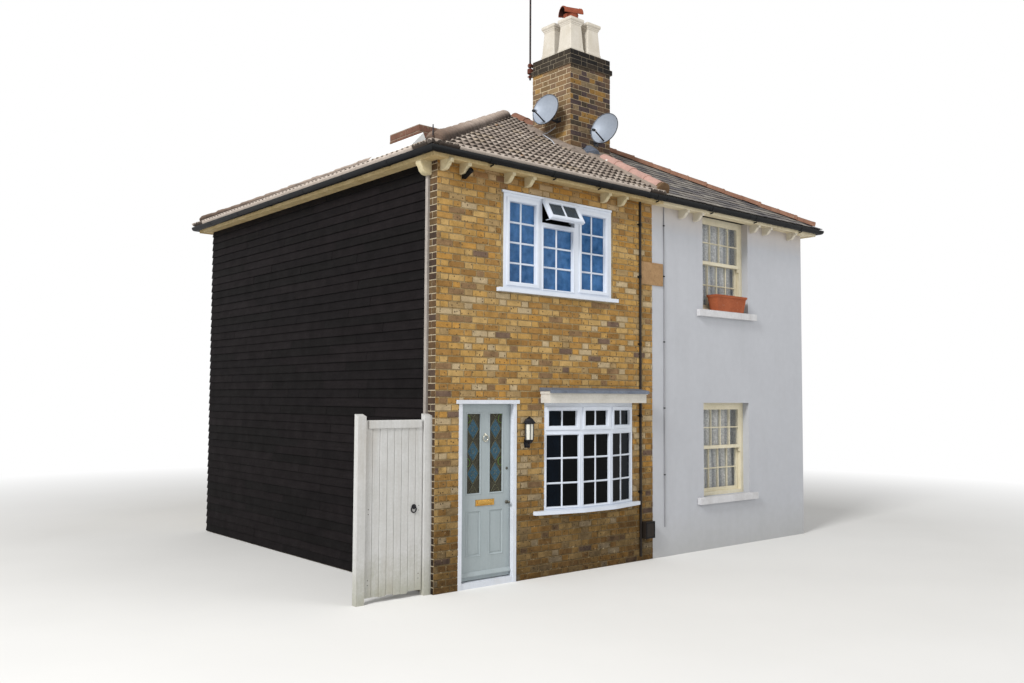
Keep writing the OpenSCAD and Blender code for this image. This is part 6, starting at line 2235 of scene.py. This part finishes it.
@dataclass(frozen=True)
class Dishes:
    """The two satellite dishes on their cranked arms."""

    radius: float = 0.232
    curve: float = 0.43
    turn: float = 189.0
    tilt: float = 79.0
    stem: float = 0.08
    left: tuple[float, float, float] = (-0.623, -1.620, 6.263)
    right: tuple[float, float, float] = (0.046, -2.150, 6.002)
    cable_r: float = 0.005

    def frame(self, at: tuple[float, float, float]) -> Place:
        """Directions of a dish: up is its axis, right points to its lower edge.

        Args:
            at: Middle of the dish.

        Returns:
            The directions.
        """
        t, a = math.radians(self.tilt), math.radians(self.turn)
        axis = Vector((math.sin(t) * math.cos(a), math.sin(t) * math.sin(a), math.cos(t)))
        low = Vector((math.cos(t) * math.cos(a), math.cos(t) * math.sin(a), -math.sin(t)))
        return Place(Vector(at), low, low.cross(axis), axis)

    def build(self) -> None:
        """Builds both dishes, with their arms, feeds, plates and cables."""
        shape = Shape()
        for at, wall, cap in ((self.left, Vector((-0.398, 0, 6.153)), 0), (self.right, Vector((0, -1.85, 5.892)), 2)):
            view = self.frame(at)
            profile = [(max(r, 0.001), self.curve - math.sqrt(self.curve ** 2 - r * r))
                       for r in (self.radius * k / 8 for k in range(9))]
            edge = profile[-1][1]
            back = [(r, h - 0.004) for r, h in reversed(profile[:-1])]
            lip = [(self.radius + 0.001, edge + 0.001), (self.radius + 0.001, edge - 0.006)]
            shape.spun(profile + lip + back, view, 40)
            # A dark ring inside the lip, thickest towards one side: painted shade where the dish's back edge shows.
            angles, r = around(40, 41), self.radius - 0.004
            rim = [view.at(r * math.cos(a), r * math.sin(a), edge - 0.004) for a in angles]
            shape.tube(rim, [0.0035 + 0.0035 * (0.5 + 0.5 * math.cos(a + 0.8)) for a in angles], 6, 1)
            low, high = view.at(0.1875, 0, 0.045), view.at(0.128, 0, 0.300)
            shape.tube([view.at(0.03, 0, -0.02), view.at(0.15, 0, 0.0), view.at(0.188, 0, 0.02), low,
                        low.lerp(high, 0.5), high], [0.010, 0.010, 0.011, 0.011, 0.010, 0.010], 8, 1)
            feed = Place.along(view.at(0.125, 0, 0.288), view.at(0.144, 0, 0.336))
            shape.spun([(0.010, -0.004), (0.019, 0.0), (0.020, 0.004), (0.020, 0.040), (0.018, 0.044),
                        (0.010, 0.046)], feed, 14, 1)
            shape.spun([(0.016, -0.030), (0.024, -0.028), (0.026, -0.016), (0.024, -0.002), (0.014, 0.0)],
                       feed, 16, cap)
            hub = [(0.055, -0.004), (0.058, -0.020), (0.030, -0.026), (0.018, -0.040), (0.016, -self.stem)]
            shape.spun(hub, view, 12, 1)
            end = view.at(0, 0, -self.stem)
            knee = Vector((end.x, end.y, wall.z))
            foot = Vector((wall.x, end.y, wall.z)) if wall.x else Vector((end.x, wall.y, wall.z))
            shape.tube([end + UP * 0.045, end, knee + UP * 0.04, knee.lerp(foot, 0.12) + UP * 0.004,
                        knee.lerp(foot, 0.5), foot], 0.0165, 10, 1)
            out = (knee - foot).normalized()
            plate = Place(foot, Vector((-out.y, out.x, 0)), out)
            shape.block((-0.05, 0.0, -0.065), (0.05, 0.006, 0.065), 1, plate)
            for a, b in ((-0.035, -0.05), (0.035, -0.05), (-0.035, 0.05), (0.035, 0.05)):
                shape.tube([plate.at(a, 0.004, b), plate.at(a, 0.014, b)], 0.007, 6, 1)
        shape.piece("dish_pair", [DISH_GREY, DARK_RIM, WHITE_FRAME], "grey_metal", replaces=["satellite_dishes"],
                    smooth=True)
        self.cable("left_dish_cable", WHITE_FRAME, "white_frame",
                   [(-0.416, -1.555, 6.09), (-0.420, -1.505, 6.063), (-0.430, -1.45, 6.040), (-0.450, -1.405, 6.022),
                    (-0.485, -1.380, 6.008), (-0.522, -1.395, 5.994), (-0.545, -1.440, 5.968),
                    (-0.556, -1.50, 5.932), (-0.566, -1.57, 5.890), (-0.577, -1.635, 5.851),
                    (-0.589, -1.695, 5.802), (-0.600, -1.745, 5.742)])
        self.cable("right_dish_cable", DARK_RIM, "black_plastic",
                   [(0.122, -1.863, 5.825), (0.105, -1.868, 5.785), (0.070, -1.872, 5.765), (0.025, -1.872, 5.762),
                    (-0.025, -1.870, 5.770), (-0.075, -1.869, 5.778), (-0.125, -1.870, 5.772),
                    (-0.165, -1.872, 5.757), (-0.195, -1.874, 5.735)])

    def cable(self, name: str, finish: Finish, slot: str, knots: Sequence[tuple[float, float, float]]) -> None:
        """A thin cable along a smooth line by the knots.

        Args:
            name: Name of the piece.
            finish: Its finish.
            slot: The record's material slot.
            knots: Points that it runs by; it starts and ends on the first and the last.
        """
        points = [Vector(p) for p in knots]
        ends = [points[0] * 2 - points[1]] + points + [points[-1] * 2 - points[-2]]
        path = []
        for k in range(len(points) - 1):
            p0, p1, p2, p3 = ends[k:k + 4]
            for step in range(3):
                t = step / 3
                path.append(0.5 * (2 * p1 + (p2 - p0) * t + (2 * p0 - 5 * p1 + 4 * p2 - p3) * t * t
                                   + (3 * p1 - p0 - 3 * p2 + p3) * t ** 3))
        path.append(points[-1])
        for _ in range(6):
            inner = [(a + b * 2 + c) / 4 for a, b, c in zip(path, path[1:], path[2:])]
            path = [path[0]] + inner + [path[-1]]
        length = sum((b - a).length for a, b in zip(path, path[1:]))
        shape = Shape().tube(path, self.cable_r, 8)
        piece = shape.piece(name, [finish], slot, smooth=True)


@dataclass(frozen=True)
class Fittings:
    """Pipe clips, the meter box's door, the lamp sensor, the hip iron, the mast's clamps and the lead patch."""

    def build(self) -> None:
        """Builds the small things."""
        black, iron, lead = Shape(), Shape(), Shape()
        for z in (0.9, 1.9, 2.85, 3.75, 4.45):
            clip = STREET.moved(-0.279, 0.017, z)
            black.spun([(0.0185, -0.022), (0.0205, -0.020), (0.0205, 0.020), (0.0185, 0.022)], clip, 14)
            black.block((-0.045, -0.016, -0.012), (0.045, -0.010, 0.012), 0, clip)
        for z in (1.1, 2.0, 2.9, 3.8, 4.5):
            clip = STREET.moved(0.218, 0.008, z)
            black.block((-0.012, -0.008, -0.008), (0.012, 0.010, 0.008), 0, clip)
        box = STREET.moved(-0.256, 0, 0.29)
        black.moulding((0.004, 0.175), (0.006, 0.214), [(0, 0.088), (0, 0.093), (0.006, 0.095), (0.014, 0.095),
                                                      (0.018, 0.091), (0.018, 0.088)], box)
        black.block((0.015, 0.088, 0.2), (0.022, 0.097, 0.21), 0, box)
        sensor = Place.along(Vector((-3.252, -3.068, 4.612)), Vector((-3.252, -3.205, 4.678)))
        black.spun([(0.018, 0.0), (0.027, 0.004), (0.028, 0.02), (0.028, 0.125), (0.032, 0.127), (0.032, 0.150),
                    (0.024, 0.154), (0.022, 0.140)], sensor, 16)
        black.block((-0.02, -0.03, 0.0), (0.02, 0.034, 0.05), 0, STREET.moved(-3.252, 0.01, 4.60))
        for end in (-1, 1):
            for z in (1.0, 2.2, 3.4, 4.4):
                pipe = Place.facing(3.452 * end, -FRONT_Y + 0.034, z, ALONG_GARDEN)
                black.spun([(0.0355, -0.03), (0.039, -0.027), (0.039, 0.027), (0.0355, 0.03)], pipe, 18)
                black.block((-0.065, -0.033, -0.02), (0.065, -0.024, 0.02), 0, pipe)
        black.piece("wall_clips", [BLACK], "black_plastic", bevel=0.0015)
        path = [Vector((-3.70, -3.12, 4.955)), Vector((-3.745, -3.165, 4.935)), Vector((-3.778, -3.198, 4.925)),
                Vector((-3.790, -3.210, 4.945)), Vector((-3.790, -3.210, 5.02)), Vector((-3.788, -3.208, 5.085))]
        iron.tube(path, [0.008, 0.008, 0.009, 0.009, 0.008, 0.006], 8)
        iron.piece("hip_iron", [RUST_IRON], "rusty_iron", smooth=True)
        clamps, mast = Shape(), Place.facing(-0.412, -0.988, 0, ALONG_STREET)
        for z, r, high in ((7.128, 0.034, 0.056), (7.028, 0.044, 0.078), (6.962, 0.026, 0.044)):
            clamps.spun([(r - 0.010, 0.0), (r, 0.006), (r, high - 0.006), (r - 0.010, high)], mast.moved(0, 0, z), 8)
            for side in (-1, 1):
                bolt = mast.moved(side * 0.026, 0, z + high / 2)
                clamps.tube([bolt.at(0, -0.03, 0), bolt.at(0, 0.052, 0)], 0.006, 8)
                nut = Place.along(bolt.at(0, 0.040, 0), bolt.at(0, 0.06, 0))
                clamps.spun([(0.011, -0.004), (0.011, 0.004)], nut, 6)
        clamps.piece("mast_clamps", [RUST_RED], "rusty_iron", bevel=0.001)
        place = Roof().front.place
        rings = []
        for k in range(13):
            a, s = -0.155 + 0.29 * k / 12, 1.52 + 0.05 * abs(k - 5) / 6
            crown = 0.085 + 0.055 * max(0.0, math.cos(a * 11)) + 0.004 * math.sin(k * 2.1)
            rings.append([place.at(a, 0.002, s), place.at(a, crown - 0.006, s), place.at(a, crown, s + 0.01),
                          place.at(a, crown + 0.012, 1.70), place.at(a, 0.002, 1.70)])
        lead.skin(rings)
        lead.piece("lead_patch", [LEAD], "lead", bevel=0.002)


def stage() -> None:
    """A pale floor, soft lamps, a white background and the camera."""
    world = bpy.data.worlds.new("white_room")
    bpy.context.scene.world = world
    world.use_nodes = True
    world.node_tree.nodes.clear()
    wire = Wiring(world.node_tree)
    path = wire.add("ShaderNodeLightPath")
    seen = wire.math("MAXIMUM", path.outputs["Is Camera Ray"], path.outputs["Is Transmission Ray"])
    seen = wire.math("MAXIMUM", seen, path.outputs["Is Glossy Ray"])
    strength = wire.add("ShaderNodeMix", {0: seen, 2: 0.5, 3: 1.0}).outputs[0]
    light = wire.add("ShaderNodeBackground", {"Color": (1, 1, 1, 1), "Strength": strength})
    wire.add("ShaderNodeOutputWorld", {"Surface": light.outputs[0]})

    floor = linked("floor", Shape().block((-60, -60, -0.05), (60, 60, 0.0)).mesh("floor"))
    floor.data.materials.append(pale_floor())

    def lamp(name: str, place: tuple, aim: tuple, size: float, power: float) -> bpy.types.Object:
        """A soft lamp aimed at a point.

        Args:
            name: Its name.
            place: Where it hangs.
            aim: Where it points.
            size: Its size.
            power: Its power.

        Returns:
            The lamp.
        """
        data = bpy.data.lights.new(name, "AREA")
        data.size, data.energy = size, power
        thing = linked(name, data)
        thing.location = place
        thing.rotation_euler = (Vector(aim) - Vector(place)).to_track_quat("-Z", "Y").to_euler()
        return thing

    key = lamp("key_lamp", (-22, -9, 17), (0, 0, 3), 6.0, 5600)
    fill = lamp("fill_lamp", (10, -24, 12), (0, 0, 3), 14.0, 1400)
    camera = linked("photo_camera", bpy.data.cameras.new("photo_camera"))
    film, picture, focal, rise = 36.0, 1024, 920.8, 4.9
    camera.data.lens, camera.data.sensor_width = film * focal / picture, film
    camera.data.shift_y = rise / picture
    yaw, pitch, roll = math.radians(40.57), math.radians(3.16), math.radians(0.30)
    ahead = Vector((math.sin(yaw) * math.cos(pitch), math.cos(yaw) * math.cos(pitch), math.sin(pitch)))
    right = Vector((math.cos(yaw), -math.sin(yaw), 0))
    up = right.cross(ahead)
    side, top = right * math.cos(roll) + up * math.sin(roll), up * math.cos(roll) - right * math.sin(roll)
    turn = Matrix((side, top, -ahead)).transposed().to_4x4()
    camera.matrix_world = Matrix.Translation((-9.5225, -11.239, 2.136)) @ turn
    camera.data.clip_end = 300
    bpy.context.scene.camera = camera
    bpy.context.scene.view_settings.view_transform = "Standard"


def dress_nodes() -> None:
    """Finishes of the CAD nodes that stay in sight."""
    dress(FRONT_MORTAR, "front_wall_door_pier", "front_wall_lower", "front_wall_upper", "side_wall",
          "rear_wall_brick")
    dress(RENDER, "rendered_front_wall", "rendered_side_wall", "rear_wall_rendered")
    dress(PLASTER, "party_wall")
    dress(FLOORING, "floors")
    dress(STACK_MORTAR, "chimney_stack")
    dress(STUB_MORTAR, "stub_chimney")
    dress(CREAM_CLAY, "chimney_pots")
    dress(ORANGE_CLAY, "chimney_cowl")
    dress(SOFFIT, "eaves_boards")
    dress(BLACK, "gutters")
    dress(SERVICES, "wall_services")
    dress(CREAM, "eaves_brackets", "closed_doors")
    dress(SASH_PAINT, "sash_windows")
    dress(DOOR_WHITE, "door_frame")
    dress(DISH_GREY, "satellite_dishes")
    dress(RUST_IRON, "aerial_mast")
    dress(WHITE_FRAME, "upper_window_frame", "bow_window_frame")
    dress(CORNICE, "bow_window_cornice")
    dress(LEAD, "bow_window_lead")
    dress(GLASS_PAINTED_REFLECTIONS, "window_glass")
    dress(SAGE, "door_leaf")
    dress(LEADED, "door_glass")
    dress(BRASS, "door_furniture")
    dress(BLACK_IRON, "lantern", "gate_ironwork")
    dress(STONE_PAINT, "window_sills")
    dress(TERRACOTTA, "window_box")
    dress(WHITE_WOOD, "gate_leaf", "gate_posts")
    dress(TAN_STONE, "plaque")
    dress(TARRED, "weatherboarding")


def main() -> None:
    """Builds every piece in order."""
    logging.basicConfig(level=logging.INFO, format="%(name)s: %(message)s")
    laying = Laying()
    dress_nodes()
    Brickwork().build(laying)
    Pots().build()
    Roof().build(laying)
    Windows().build()
    FrontDoor().build()
    SideGate().build()
    Boarding().build(laying)
    Lantern().build()
    Eaves().build()
    Dishes().build()
    Fittings().build()
    stage()


if __name__ == "__main__":
    main()
